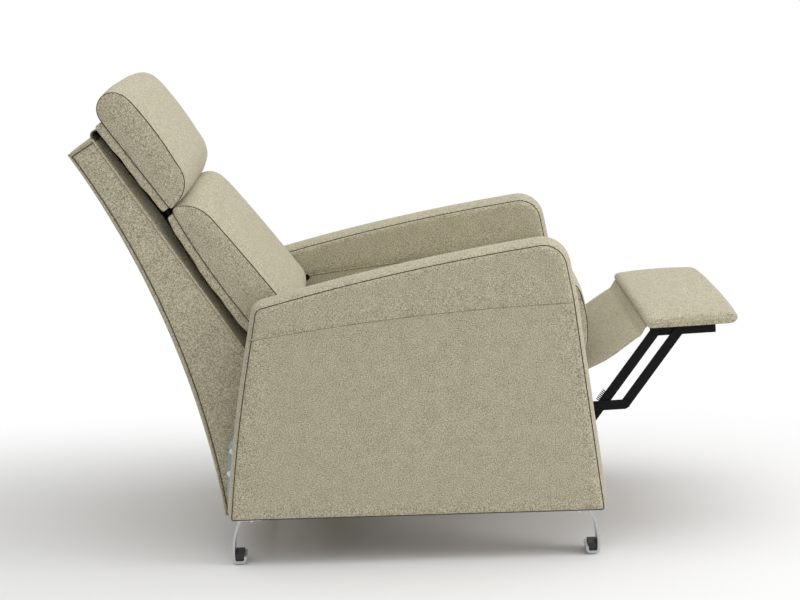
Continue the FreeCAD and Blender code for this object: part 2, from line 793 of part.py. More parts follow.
# Guides for the back, on the arms: a plate with the pin that the back turns on
guide_reach = s.plate_margin + s.pin_diameter / 2
guide_corners = [
    guide + spot(-guide_reach / 2, -guide_reach),
    guide + spot(-guide_reach / 2, guide_reach / 2),
    guide + spot(guide_reach, guide_reach / 2),
    guide + spot(guide_reach * 2, -guide_reach),
]
guide_plates = []
for side, sign in sides:
    body = plate("back_guide_" + side, guide_corners, 0, sign, clip="corner_width")
    stud(body, "guide_pin_" + side, guide.x, guide.z, 0, 2, sign)
    guide_plates.append(body)
group("back_guides", guide_plates)

# Seat frame: rails and webbing lie in a plane that rises to the front by the seat's tilt
seat_corner = spot(s.seat_front_place, s.seat_bottom_height)
seat_turn = Rotation(Vector(0, 1, 0), -s.seat_tilt)


def on_seat(back, up, y=0.0):
    # a point this far behind the seat's lower front corner and above its underside
    return seat_corner + seat_turn.multVec(Vector(-back, y, up))


rail_top = -s.webbing_thickness - 2 * s.rest_gap
rail_outer = layer_inner(3) - s.rest_gap
rail_inner = rail_outer - s.seat_rail_thickness
rail_rear = s.seat_rail_setback + s.seat_rail_length
for side, sign in sides:
    rail = doc.addObject("Part::Box", "seat_side_rail_" + side)
    bind(rail, Length="Sizes.seat_rail_length", Width="Sizes.seat_rail_thickness")
    bind(rail, Height="Sizes.seat_rail_height")
    low_y = rail_inner if sign > 0 else -rail_outer
    rail.Placement = Placement(on_seat(rail_rear, rail_top - s.seat_rail_height, low_y), seat_turn)
    keep(rail, "seat_side_rail_" + side)
for name, back in (("front", s.seat_rail_setback + s.seat_rail_thickness), ("rear", rail_rear)):
    rail = doc.addObject("Part::Box", "seat_%s_rail" % name)
    bind(rail, Length="Sizes.seat_rail_thickness", Height="Sizes.seat_rail_height")
    rail.Width = 2 * rail_inner
    rail.Placement = Placement(on_seat(back, rail_top - s.seat_rail_height, -rail_inner), seat_turn)
    keep(rail, "seat_%s_rail" % name)
straps = []
strap_count = 5
strap_step = 2 * rail_inner / strap_count
for index in range(strap_count):
    strap = doc.addObject("Part::Box", "strap_%d" % index)
    bind(strap, Length="Sizes.seat_rail_length", Width="Sizes.webbing_width")
    bind(strap, Height="Sizes.webbing_thickness")
    strap_y = -rail_inner + index * strap_step + (strap_step - s.webbing_width) / 2
    strap.Placement = Placement(on_seat(rail_rear, rail_top + s.rest_gap, strap_y), seat_turn)
    straps.append(strap)
group("seat_webbing", straps)

# Seat plates: they hang from the side rails and carry every pivot of the seat
rail_middle = rail_top - s.seat_rail_height / 2


def on_rail(x):
    # the point of the side rail's middle line at this place
    back = (s.seat_front_place - x) / math.cos(math.radians(s.seat_tilt))
    return on_seat(back - rail_middle * math.tan(math.radians(s.seat_tilt)), rail_middle)


knee = on_rail(hinge.x)
plate_points = [knee, rear_top, front_top, drive_pivot, fold_pivot, on_rail(fold_pivot.x + s.plate_margin)]
seat_nuts = []
for side, sign in sides:
    body = hull_plate("seat_plate_" + side, [plate_points, [knee, hinge]], 3, sign, s.plate_margin)
    for name, point, last in (
        ("rear_swing", rear_top, 1),
        ("front_swing", front_top, 1),
        ("hinge", hinge, 2),
        ("fold", fold_pivot, 4),
        ("drive", drive_pivot, 4),
    ):
        label = "%s_%s" % (name, side)
        stud(body, "seat_stud_" + label, point.x, point.z, 3, last, sign)
        seat_nuts.append(nut("seat_nut_" + label, point, 3, last, sign))
group("seat_nuts", seat_nuts)

# Seat cushion
seat_half = s.well_half_width - s.seat_side_clearance


def seat_outline(grow, depth):
    def place(back, up):
        rise = max(up, 0.0) * grow
        at_front = back < seat_front_line and up > crown_start
        ahead = grow * seat_front_share if at_front else 0.0
        x = s.seat_front_place - back * s.seat_length + ahead
        return spot(x, s.seat_bottom_height + up * s.seat_height + rise)

    return closed_wire(seat_shares, place, depth)


feature("seat_cushion", crowned(seat_half, seat_outline, s.seat_crown, seat_rows))

# Footrest links: the lower and drive links turn on the seat plates, the long and front links on these
link_bars = {"lower_link": [], "drive_link": [], "long_link": [], "front_link": []}
link_nuts = {name: [] for name in link_bars}
long_run = s.long_link_upper + s.long_link_lower
for side, sign in sides:
    bar = link_bar("lower_link_" + side, fold_pivot, front_pivot, 4, sign, outline=clipped_outline)
    link_bars["lower_link"].append(bar)
    drill(bar, "lower_link_hole_" + side, [(0.0, 0.0)], pin_hole)
    for name, point, along in (
        ("crossing", crossing, s.lower_link_reach),
        ("front", front_pivot, s.lower_link_reach + s.link_pitch),
    ):
        stud(bar, "%s_stud_%s" % (name, side), along, 0.0, 4, 5, sign)
        link_nuts["lower_link"].append(nut("%s_nut_%s" % (name, side), point, 4, 5, sign))
    bar = link_bar("drive_link_" + side, drive_pivot, drive_end, 4, sign, outline=clipped_outline)
    link_bars["drive_link"].append(bar)
    drill(bar, "drive_link_hole_" + side, [(0.0, 0.0)], pin_hole)
    stud(bar, "drive_stud_" + side, s.drive_link_length, 0.0, 4, 5, sign, "drive_pin_diameter")
    link_nuts["drive_link"].append(nut("drive_nut_" + side, drive_end, 4, 5, sign))
    bar = link_bar("long_link_" + side, rear_mount, drive_end, 5, sign)
    link_bars["long_link"].append(bar)
    drill(bar, "long_link_hole_" + side, [(s.long_link_upper, 0.0)], pin_hole)
    drill(bar, "long_link_end_hole_" + side, [(long_run, 0.0)], drive_hole)
    stud(bar, "rear_mount_stud_" + side, 0.0, 0.0, 5, 6, sign)
    end_nut = nut("rear_mount_nut_" + side, rear_mount, 5, 6, sign, "small_nut_width")
    link_nuts["long_link"].append(end_nut)
    bar = link_bar("front_link_" + side, front_pivot, front_mount, 5, sign)
    link_bars["front_link"].append(bar)
    drill(bar, "front_link_hole_" + side, [(0.0, 0.0)], pin_hole)
    stud(bar, "front_mount_stud_" + side, s.long_link_upper, 0.0, 5, 6, sign)
    end_nut = nut("front_mount_nut_" + side, front_mount, 5, 6, sign, "small_nut_width")
    link_nuts["front_link"].append(end_nut)
for name, nuts in link_nuts.items():
    group(name + "s", link_bars[name])
    group(name + "_nuts", nuts)

# Footrest: angle brackets on the links, a board, and the pad that wraps it
foot_turn = Rotation(Vector(0, 1, 0), -s.lower_link_angle)


def on_foot(along, up, y=0.0):
    return rear_mount + foot_turn.multVec(Vector(along, y, up))


angles = []
for side, sign in sides:
    inner = sign * layer_inner(6)
    outer = sign * layer_outer(6)
    far = inner - sign * (s.bracket_flange - s.plate_thickness)
    start = -s.link_width / 2
    flange_low = s.bracket_rise - s.plate_thickness
    section = [
        on_foot(start, -s.bracket_drop, outer),
        on_foot(start, s.bracket_rise, outer),
        on_foot(start, s.bracket_rise, far),
        on_foot(start, flange_low, far),
        on_foot(start, flange_low, inner),
        on_foot(start, -s.bracket_drop, inner),
    ]
    run = on_foot(s.bracket_length, 0.0) - on_foot(0.0, 0.0)
    angle = Part.Face(Part.makePolygon(section + section[:1])).extrude(run)
    hole_radius = s.pin_diameter / 2 + s.pin_clearance
    for point in (rear_mount, front_mount):
        low_y = min(inner, outer) - s.plate_thickness
        hole_start = spot(point.x, point.z, low_y)
        hole = Part.makeCylinder(hole_radius, 3 * s.plate_thickness, hole_start, Vector(0, 1, 0))
        angle = angle.cut(hole)
    angles.append(angle)
feature("footrest_brackets", Part.makeCompound(angles))
pad_half = s.well_half_width - s.pad_side_clearance
board = doc.addObject("Part::Box", "footrest_board")
bind(board, Length="Sizes.pad_length - 2 * Sizes.board_inset", Height="Sizes.board_thickness")
board.Width = 2 * (pad_half - s.board_inset)
board_low = on_foot(s.board_inset - s.pad_rear_reach, s.bracket_rise, s.board_inset - pad_half)
board.Placement = Placement(board_low, foot_turn)
keep(board, "footrest_board")


def pad_outline(grow, depth):
    def place(along, up):
        reach = along * s.pad_length - s.pad_rear_reach
        return on_foot(reach, s.bracket_rise + up * (s.pad_height + grow))

    return closed_wire(pad_shares, place, depth)


gap = s.rest_gap
recess = Part.makeBox(
    s.pad_length - 2 * s.board_inset + 2 * gap,
    2 * (pad_half - s.board_inset + gap),
    s.board_thickness + s.pad_height / 2,
)
recess_up = gap - s.pad_height / 2
recess_low = on_foot(
    s.board_inset - s.pad_rear_reach - gap, s.bracket_rise + recess_up, s.board_inset - pad_half - gap
)
recess.Placement = Placement(recess_low, foot_turn)
feature("footrest_pad", crowned(pad_half, pad_outline, s.pad_crown).cut(recess))

# Calf flap: cloth from the front of the seat frame to the rear of the pad
flap_drop = s.seat_rail_height * flap_drop_share
flap_start = on_seat(s.seat_rail_setback - s.flap_thickness / 2, rail_top - flap_drop)
flap_end = on_foot(-s.pad_rear_reach - gap, s.bracket_rise - s.flap_thickness)
flap_way = flap_end - flap_start
flap_up = Vector(-flap_way.z, 0.0, flap_way.x)
flap_rise = s.flap_thickness / flap_way.Length


def flap_point(along, sag):
    return flap_start + flap_way * along + flap_up * sag


(flap_first, flap_arc, flap_last) = flap_shares
flap_steps = [
    flap_first,
    flap_arc,
    flap_last,
    (flap_last[1][0], flap_last[1][1] + flap_rise),
    ((flap_last[0][0], flap_last[0][1] + flap_rise), (flap_arc[1][0], flap_arc[1][1] + flap_rise)),
    ((flap_arc[0][0], flap_arc[0][1] + flap_rise), (flap_first[0], flap_first[1] + flap_rise)),
]
flap_half = pad_half - s.flap_inset
feature("calf_flap", prism(closed_wire(flap_steps, flap_point), -flap_half, flap_half))

# Back: everything is placed along the line where its cushion lies on its board
back_corner = hinge + spot(-s.back_seat_setback, s.back_seat_rise)
back_up = toward(90.0 + s.back_lean, 1.0)
back_out = toward(s.back_lean, 1.0)


def on_back(up, out):
    return back_corner + back_up * up + back_out * out


def back_outline(grow, depth):
    # grow runs from nothing at the side seams to one in the middle
    def place(up, out):
        share = 1.0 if 0.0 < up < crown_end else crown_low_share
        push = grow * s.back_crown * max(out, 0.0) * share
        lift = grow * s.back_top_crown * max(out, 0.0) if up > back_lift_start else 0.0
        return on_back(up * s.back_length + lift, out * s.back_depth + push)

    return closed_wire(back_shares, place, depth)


feature("back_cushion", crowned(s.back_half_width, back_outline, 1.0))

# Board, leaves and posts follow the bowed rear of the back cushion at their own depths behind it
board_front = -s.rest_gap
board_rear = board_front - s.board_depth
board_end = s.back_length - s.hinge_room
bow_up, bow_out = back_shares[1][0]
rear_end = back_shares[1][1][0]


def back_layer(front, rear, low_end, top_end, low_y, high_y):
    bow = bow_out * s.back_depth
    steps = [
        (0.0, front),
        ((bow_up * s.back_length, front + bow), (rear_end * s.back_length, front)),
        (rear_end * s.back_length, rear),
        ((bow_up * s.back_length, rear + bow), (0.0, rear)),
    ]
    whole = prism(closed_wire(steps, on_back), low_y, high_y)
    front_line, rear_line = s.back_depth, -s.back_length
    span = [(low_end, front_line), (top_end, front_line), (top_end, rear_line), (low_end, rear_line)]
    return whole.common(prism(closed_wire(span, on_back), low_y, high_y))


board_half = s.back_half_width - s.board_side_inset
feature("back_board", back_layer(board_front, board_rear, 0.0, board_end, -board_half, board_half))

# Headrest, carried by hinges at the top of the back board
head_corner = on_back(s.back_length, 0.0) + toward(90.0 + s.head_lean, s.head_gap)
head_up = toward(90.0 + s.head_lean, 1.0)
head_out = toward(s.head_lean, 1.0)


def on_head(up, out):
    return head_corner + head_up * up + head_out * out


def head_outline(grow, depth):
    def place(up, out):
        push = grow * max(out, 0.0) * (1.0 if up > crown_start else crown_low_share)
        lift = grow * head_lift_share if up > crown_end else 0.0
        return on_head(up * s.head_length + lift, out * s.head_depth + push)

    return closed_wire(head_shares, place, depth)


feature("head_cushion", crowned(s.back_half_width, head_outline, s.head_crown))
head_board_start = s.hinge_room
head_board_steps = [
    (head_board_start, board_front),
    (s.head_board_length, board_front),
    (s.head_board_length, board_rear),
    (head_board_start, board_rear),
]
feature("head_board", prism(closed_wire(head_board_steps, on_head), -board_half, board_half))

# Headrest hinges: a leaf behind each board, rolled about a pin in line with the boards
head_axis = on_head(-s.head_gap / 2, (board_front + board_rear) / 2)
leaf_front = board_rear - s.rest_gap
leaf_rear = leaf_front - s.hinge_leaf_thickness
fixed_leaves = []
moving_leaves = []


def hinge_neck(on_board, start, low, width):
    # end of a leaf, from just past its board to the middle of the pin
    root, crest = on_board(start, leaf_rear), on_board(start, leaf_front)
    run = head_axis - (root + crest) / 2
    aside = Vector(-run.z, 0.0, run.x)
    aside.normalize()
    aside = aside * (s.hinge_leaf_thickness / 2)
    corners = [root, crest, head_axis + aside, head_axis - aside]
    if (crest - root).dot(aside) < 0:
        corners = [root, crest, head_axis - aside, head_axis + aside]
    return prism(Part.makePolygon(corners + corners[:1]), low, low + width)


def y_cylinder(centre, diameter, low, high):
    return Part.makeCylinder(diameter / 2, high - low, spot(centre.x, centre.z, low), Vector(0, 1, 0))


past = s.hinge_room / 8
for side, sign in sides:
    centre = sign * s.hinge_place
    half_gap = s.layer_gap / 2
    width = s.hinge_leaf_width
    low = centre - half_gap - width
    strip = back_layer(leaf_front, leaf_rear, board_end - s.hinge_leaf_length, board_end, low, low + width)
    bridge_steps = [
        (board_end, leaf_front),
        (board_end + past, leaf_front),
        (board_end + past, leaf_rear),
        (board_end, leaf_rear),
    ]
    bridge = prism(closed_wire(bridge_steps, on_back), low, low + width)
    pin = y_cylinder(head_axis, s.hinge_pin_diameter, low, centre + half_gap + width)
    neck = hinge_neck(on_back, board_end + past, low, width)
    fixed_leaves.append(strip.multiFuse([bridge, neck, pin]))
    low = centre + half_gap
    start = head_board_start - past
    strip_steps = [
        (start, leaf_front),
        (s.hinge_leaf_length, leaf_front),
        (s.hinge_leaf_length, leaf_rear),
        (start, leaf_rear),
    ]
    strip = prism(closed_wire(strip_steps, on_head), low, low + width)
    bore = y_cylinder(head_axis, s.hinge_pin_diameter + 2 * s.pin_clearance, low - width, low + 2 * width)
    barrel = y_cylinder(head_axis, s.hinge_barrel_diameter, low, low + width)
    moving_leaves.append(strip.multiFuse([hinge_neck(on_head, start, low, width), barrel]).cut(bore))
feature("headrest_hinge_fixed", Part.makeCompound(fixed_leaves))
feature("headrest_hinge_moving", Part.makeCompound(moving_leaves))

post_low = s.back_length * post_share_low
post_top = s.back_length * post_share_top

# Outer back shell: a tub with a crowned rear, side wings and a border at top and bottom
shell_half = layer_inner(2) - s.rest_gap
shell_low = spot(s.shell_base_place, s.shell_base_height)
shell_run = s.shell_rise * math.tan(math.radians(s.shell_lean))
shell_high = shell_low + spot(-shell_run, s.shell_rise)
shell_chord = shell_high - shell_low
shell_forward = Vector(shell_chord.z, 0.0, -shell_chord.x)
shell_forward.normalize()
shell_middle = (shell_low + shell_high) / 2 + shell_forward * s.shell_bow
wing_edge = board_rear - s.shell_gap
wing_top = on_back((shell_high - back_corner).dot(back_up) - s.shell_top_fall, wing_edge)
wing_low = on_back(-s.wing_low_reach, wing_edge)
wing_foot = spot(s.wing_foot_place, s.wing_foot_height)


def shell_wire(inset, depth):
    move = shell_forward * inset
    edges = [
        Part.Arc(shell_low + move, shell_middle + move, shell_high + move).toShape(),
        Part.LineSegment(shell_high + move, wing_top).toShape(),
        Part.LineSegment(wing_top, wing_low).toShape(),
        Part.LineSegment(wing_low, wing_foot).toShape(),
        Part.LineSegment(wing_foot, shell_low + move).toShape(),
    ]
    wire = Part.Wire(edges)
    wire.translate(Vector(0.0, depth, 0.0))
    return wire


shell_solid = crowned(shell_half, shell_wire, s.shell_crown, shell_rows)
wall = shell_forward * (s.shell_wall + s.shell_crown)
border = shell_chord * (s.shell_border / shell_chord.Length)
ahead = back_out * (shell_run + s.shell_wall)
hollow_low, hollow_high = shell_low + wall + border, shell_high + wall - border
hollow_middle = shell_middle + wall
hollow_wire = Part.Wire([
    Part.Arc(hollow_low, hollow_middle, hollow_high).toShape(),
    Part.LineSegment(hollow_high, hollow_high + ahead).toShape(),
    Part.LineSegment(hollow_high + ahead, hollow_low + ahead).toShape(),
    Part.LineSegment(hollow_low + ahead, hollow_low).toShape(),
])
hollow_half = shell_half - s.wing_wall
feature("back_shell", shell_solid.cut(prism(hollow_wire, -hollow_half, hollow_half)))

# Posts between the shell's rear wall and the back board
posts = []
for side, sign in sides:
    low = sign * s.post_place - s.post_width / 2
    post_rear = board_rear - s.rest_gap
    block = back_layer(post_rear, -shell_run, post_low, post_top, low, low + s.post_width)
    room = prism(hollow_wire, low, low + s.post_width)
    room.translate(shell_forward * s.rest_gap)
    posts.append(block.common(room))
feature("back_posts", Part.makeCompound(posts))

# Zinc plated brackets on the wings: hinge hole, guide slot, and a tail behind the arm
tail = spot(s.bracket_tail_place, s.bracket_tail_height)
bracket_places = {"guide": guide, "hinge": hinge, "tail": tail}


def bracket_points(shares):
    points = []
    for name, steps in shares:
        for across, up in steps:
            points.append(bracket_places[name] + spot(across, up) * s.bracket_arm_width)
    return points


bracket_corners = bracket_points(bracket_shares)
bolt_places = bracket_points(bracket_bolt_shares)
bracket_bolts = []
slot_step = toward(-90.0 + s.back_turn / 2, 1.0)
slot_ends = [
    guide - slot_step * s.guide_slot_play,
    guide + slot_step * (slot_run + s.guide_slot_play),
]
for side, sign in sides:
    bracket_name = "back_bracket_" + side
    body = keep(plate(bracket_name, bracket_corners, 2, sign, clip="corner_width"), bracket_name)
    drill(body, "bracket_hinge_" + side, [(hinge.x, hinge.z)], pin_hole)
    sketch = side_sketch(body, "guide_slot_outline_" + side)
    rounded_outline(sketch, slot_ends, s.pin_diameter / 2 + s.guide_slot_play)
    slot = body.newObject("PartDesign::Pocket", "guide_slot_" + side)
    slot.Profile = sketch
    slot.SideType = "Symmetric"
    bind(slot, Length="Sizes.plate_thickness * 3")
    doc.recompute()
    outer = layer_outer(2)
    low, high = sorted((sign * outer, sign * (outer + s.nut_height)))
    for index, place in enumerate(bolt_places):
        name = "bracket_bolt_%s_%d" % (side, index)
        bracket_bolts.append(hexagon_y(name, place.x, place.z, low, high, "bolt_head_diameter"))
group("bracket_bolts", bracket_bolts)

# Fabric gusset that closes the top of the shell behind the headrest
gusset_low = wing_top - back_up * s.shell_border * gusset_share + back_out * s.rest_gap
gusset_high = on_head(s.head_board_length - s.shell_border, board_rear - s.rest_gap)
gusset_run = gusset_high - gusset_low
gusset_square = Vector(-gusset_run.z, 0.0, gusset_run.x)
gusset_square.normalize()
if gusset_square.dot(head_out) < 0:
    # its thickness goes away from the head board
    gusset_square = gusset_square * -1
gusset_step = gusset_square * s.gusset_thickness
gusset_points = [gusset_low, gusset_high, gusset_high - gusset_step, gusset_low - gusset_step]
gusset_wire = Part.makePolygon(gusset_points + gusset_points[:1])
feature("headrest_gusset", prism(gusset_wire, -hollow_half, hollow_half))

doc.recompute()

for obj in doc.Objects:
    if "Invalid" in obj.State or "Error" in obj.State:
        raise RuntimeError("%s did not build: %s" % (obj.Label, obj.State))
for obj in kept:
    if obj.Shape.isNull() or not obj.Shape.isValid():
        raise RuntimeError(obj.Label + " has no valid shape")
os.makedirs("parts", exist_ok=True)
for obj in kept:
    obj.Shape.exportStep("parts/%s.step" % obj.Label)

whole = FreeCAD.BoundBox()
for obj in kept:
    whole.add(obj.Shape.BoundBox)
print("nodes", len(kept))
print("box", whole)
for name, point in (
    ("front_base", front_base), ("rear_base", rear_base), ("front_top", front_top), ("hinge", hinge),
    ("guide", guide), ("fold_pivot", fold_pivot), ("drive_pivot", drive_pivot), ("crossing", crossing),
    ("front_pivot", front_pivot), ("rear_mount", rear_mount), ("head_axis", head_axis),
):
    print(name, round(point.x, 4), round(point.z, 4))
print("drive ratio", round(drive_ratio, 6), "link ratio", round(link_ratio, 6))
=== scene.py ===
import math
import bmesh
import bpy
import numpy as np
from mathutils import Matrix


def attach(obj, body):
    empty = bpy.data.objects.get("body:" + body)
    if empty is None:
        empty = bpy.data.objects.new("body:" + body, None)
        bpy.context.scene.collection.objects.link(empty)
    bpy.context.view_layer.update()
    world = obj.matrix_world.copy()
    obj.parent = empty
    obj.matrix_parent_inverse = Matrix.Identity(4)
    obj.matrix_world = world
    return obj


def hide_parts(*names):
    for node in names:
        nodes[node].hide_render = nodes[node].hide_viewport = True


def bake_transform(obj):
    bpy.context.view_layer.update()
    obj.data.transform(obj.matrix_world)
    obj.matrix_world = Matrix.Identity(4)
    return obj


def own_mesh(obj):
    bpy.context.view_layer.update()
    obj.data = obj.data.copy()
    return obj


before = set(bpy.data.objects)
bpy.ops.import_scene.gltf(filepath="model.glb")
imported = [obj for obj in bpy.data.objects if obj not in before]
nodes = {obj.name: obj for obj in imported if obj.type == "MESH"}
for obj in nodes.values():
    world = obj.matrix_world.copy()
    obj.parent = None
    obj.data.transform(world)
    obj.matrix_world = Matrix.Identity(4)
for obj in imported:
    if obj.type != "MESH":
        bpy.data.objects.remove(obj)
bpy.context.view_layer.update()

# Upholstered recliner, reclined with its footrest out. Metres, in the frame of the CAD parts.
bothSides = (("right", -1.0), ("left", 1.0))
quarterTurn = math.pi / 2
fullTurn = 2 * math.pi
tiny = 1e-9


# Outlines are complex numbers: the real part runs along a piece, the imaginary part across it
def arcThrough(start, way, end, count=20):
    # the circle through three points, walked from the first to the last by way of the second
    lean = (end - start) / (way - start)
    centre = start - (start - way) * (lean - abs(lean) ** 2) / (2j * lean.imag)
    first = np.angle((way - centre) / (start - centre))
    second = np.angle((end - centre) / (way - centre))
    share = np.linspace(0.0, 1.0, count)
    return centre + (start - centre) * np.exp(1j * (first + second) * share)


def traced(steps, size):
    # corners are pairs of shares of the size, a pair of pairs is an arc by way of the first
    def spot(share):
        return complex(share[0] * size[0], share[1] * size[1])

    points = [spot(steps[0])]
    for step in steps[1:]:
        if isinstance(step[0], tuple):
            points.extend(arcThrough(points[-1], spot(step[0]), spot(step[1]))[1:])
        else:
            points.append(spot(step))
    return np.array(points)


def evenly(line, step, closed=True):
    # the same line with points at even distances
    if closed:
        line = np.append(line, line[0])
    along = np.append(0.0, np.cumsum(np.abs(np.diff(line))))
    count = int(round(along[-1] / step))
    if closed:
        at = np.linspace(0.0, along[-1], count, endpoint=False)
    else:
        at = np.linspace(0.0, along[-1], count + 1)
    return np.interp(at, along, line.real) + 1j * np.interp(at, along, line.imag)


def softened(loop, passes):
    # each point moves half way to the middle of its neighbours, which rounds the corners
    for _ in range(passes):
        loop = 0.5 * loop + 0.25 * (np.roll(loop, 1) + np.roll(loop, -1))
    return loop


def outwardOf(loop):
    # unit steps square to the loop, away from its inside
    along = np.roll(loop, -1) - np.roll(loop, 1)
    along /= np.maximum(np.abs(along), tiny)
    turn = np.sum(loop.real * np.roll(loop, -1).imag - loop.imag * np.roll(loop, -1).real)
    return along * (-1j if turn > 0 else 1j)


def ramp(value, low, high):
    # smooth step from nothing at low to one at high
    share = np.clip((value - low) / (high - low), 0.0, 1.0)
    return share * share * (3.0 - 2.0 * share)


def placer(corner, along, across):
    # turns outline points and a distance along Y into points in space, by the two directions' angles
    first = np.exp(1j * math.radians(along))
    second = np.exp(1j * math.radians(across))

    def place(points, y):
        spots = complex(*corner) + points.real * first + points.imag * second
        return np.column_stack((spots.real, np.broadcast_to(y, spots.shape), spots.imag))

    return place


def lifted(line, y):
    # x and z are the two parts of the line, all at one y
    return np.column_stack((line.real, np.full(len(line), y), line.imag))


def newPiece(name, points, faces, material, smooth=True):
    mesh = bpy.data.meshes.new(name)
    mesh.from_pydata(np.asarray(points, float).tolist(), [], faces)
    work = bmesh.new()
    work.from_mesh(mesh)
    bmesh.ops.recalc_face_normals(work, faces=work.faces)
    work.to_mesh(mesh)
    work.free()
    mesh.polygons.foreach_set("use_smooth", np.full(len(mesh.polygons), smooth))
    piece = bpy.data.objects.new(name, mesh)
    bpy.context.scene.collection.objects.link(piece)
    mesh.materials.append(material)
    return piece


def tubeFaces(count, rings, poles=True):
    # quads between rings of count points; the two poles come after the rings and close the ends
    k = np.arange(count)
    after = (k + 1) % count
    faces = []
    for ring in range(rings - 1):
        low, high = ring * count, (ring + 1) * count
        faces.extend(np.column_stack((low + k, low + after, high + after, high + k)).tolist())
    if poles:
        first = rings * count
        last = (rings - 1) * count
        faces.extend(np.column_stack((k, after, np.full(count, first))).tolist())
        faces.extend(np.column_stack((last + after, last + k, np.full(count, first + 1))).tolist())
    return faces


class Wiring:
    # short ways to add and join the nodes of one material or node group
    def __init__(self, tree):
        self.tree = tree

    def add(self, kind, values=None, **settings):
        # settings belong to the node itself, values to its inputs
        node = self.tree.nodes.new(kind)
        for key, value in settings.items():
            setattr(node, key, value)
        for key, value in (values or {}).items():
            node.inputs[key].default_value = value
        return node

    def join(self, source, target):
        self.tree.links.new(source, target)

    def coordinates(self, kind="Object"):
        return self.add("ShaderNodeTexCoord").outputs[kind]

    def fed(self, kind, vector, values=None, **settings):
        # the outputs of a node that reads a vector
        node = self.add(kind, values, **settings)
        self.join(vector, node.inputs["Vector"])
        return node.outputs

    def noise(self, vector, scale, detail=2.0, roughness=0.5):
        values = {"Scale": scale, "Detail": detail, "Roughness": roughness}
        return self.fed("ShaderNodeTexNoise", vector, values)[0]

    def math(self, operation, first, second):
        node = self.add("ShaderNodeMath", operation=operation)
        for index, value in enumerate((first, second)):
            if isinstance(value, (int, float)):
                node.inputs[index].default_value = value
            else:
                self.join(value, node.inputs[index])
        return node.outputs[0]


# Finishes: colours are linear, tones are pairs of a place on the ramp and its colour,
# a grain is scale, detail and roughness of a noise, a bump is strength and distance
melangeLook = {
    "grain": (460.0, 2.0, 0.7),
    "grainShare": 0.92,
    "cloud": (60.0, 2.0),
    "cloudShare": 0.08,
    "yarnScale": 700.0,
    "yarnDepth": 0.6,
}


def melangeGroup():
    # yarn of mixed tones: grains the width of a yarn and a little of a softer cloud;
    # the height is the grain less the distance from the middle of each yarn cell
    look = melangeLook
    group = bpy.data.node_groups.new("Melange", "ShaderNodeTree")
    group.interface.new_socket("Vector", in_out="INPUT", socket_type="NodeSocketVector")
    for result in ("Tone", "Height"):
        group.interface.new_socket(result, in_out="OUTPUT", socket_type="NodeSocketFloat")
    wiring = Wiring(group)
    vector = wiring.add("NodeGroupInput").outputs["Vector"]
    results = wiring.add("NodeGroupOutput").inputs
    grain = wiring.noise(vector, *look["grain"])
    cloud = wiring.noise(vector, *look["cloud"])
    yarn = wiring.fed("ShaderNodeTexVoronoi", vector, {"Scale": look["yarnScale"]})["Distance"]
    grainPart = wiring.math("MULTIPLY", grain, look["grainShare"])
    cloudPart = wiring.math("MULTIPLY", cloud, look["cloudShare"])
    wiring.join(wiring.math("ADD", grainPart, cloudPart), results["Tone"])
    yarnPart = wiring.math("MULTIPLY", yarn, -look["yarnDepth"])
    wiring.join(wiring.math("ADD", yarnPart, grain), results["Height"])
    return group


def material(name, values):
    # the values stand on the shader's own inputs
    made = bpy.data.materials.new(name)
    made.use_nodes = True
    inputs = made.node_tree.nodes["Principled BSDF"].inputs
    for key, value in values.items():
        inputs[key].default_value = value
    return made, Wiring(made.node_tree), inputs


def toned(wiring, value, tones):
    # the colour of a ramp at the value
    node = wiring.add("ShaderNodeValToRGB")
    wiring.join(value, node.inputs[0])
    for element, (place, colour) in zip(node.color_ramp.elements, tones):
        element.position = place
        element.color = (*colour, 1.0)
    return node.outputs[0]


def bumped(wiring, inputs, height, strength, distance):
    bump = wiring.add("ShaderNodeBump", {"Strength": strength, "Distance": distance})
    wiring.join(height, bump.inputs["Height"])
    wiring.join(bump.outputs["Normal"], inputs["Normal"])


clothLook = {
    "shift": (0.137, 0.211, 0.3713),
    "tones": [(0.34, (0.200, 0.175, 0.110)), (0.66, (0.695, 0.646, 0.486))],
    "shader": {
        "Roughness": 0.92,
        "Specular IOR Level": 0.2,
        "Sheen Weight": 0.22,
        "Sheen Roughness": 0.45,
        "Sheen Tint": (1.0, 0.97, 0.92, 1.0),
    },
    "bump": (0.35, 0.0006),
}


def fabric(name, coordinates="Object"):
    # melange cloth, shifted because noise has no contrast where a coordinate is nought
    look = clothLook
    made, wiring, inputs = material(name, look["shader"])
    source = wiring.coordinates(coordinates)
    place = wiring.fed("ShaderNodeMapping", source, {"Location": look["shift"]})[0]
    weave = wiring.fed("ShaderNodeGroup", place, node_tree=melange)
    wiring.join(toned(wiring, weave["Tone"], look["tones"]), inputs["Base Color"])
    bumped(wiring, inputs, weave["Height"], *look["bump"])
    return made


# name, colour, roughness, metallic share, specular level and strength of the bump
plainLooks = {
    "leg_steel": ("satin leg steel", (0.52, 0.53, 0.55), 0.32, 0.75),
    "glide_plastic": ("glide plastic", (0.018, 0.018, 0.02), 0.5, 0.0, 0.5, 0.1),
    "black_steel": ("black steel", (0.006, 0.006, 0.0065), 0.5, 0.0, 0.12, 0.08),
    "bright_steel": ("bright steel", (0.62, 0.62, 0.62), 0.3, 0.95),
}
plainGrain = {"noise": (60.0, 3.0), "gloss": 0.06, "bumpDistance": 0.0004}


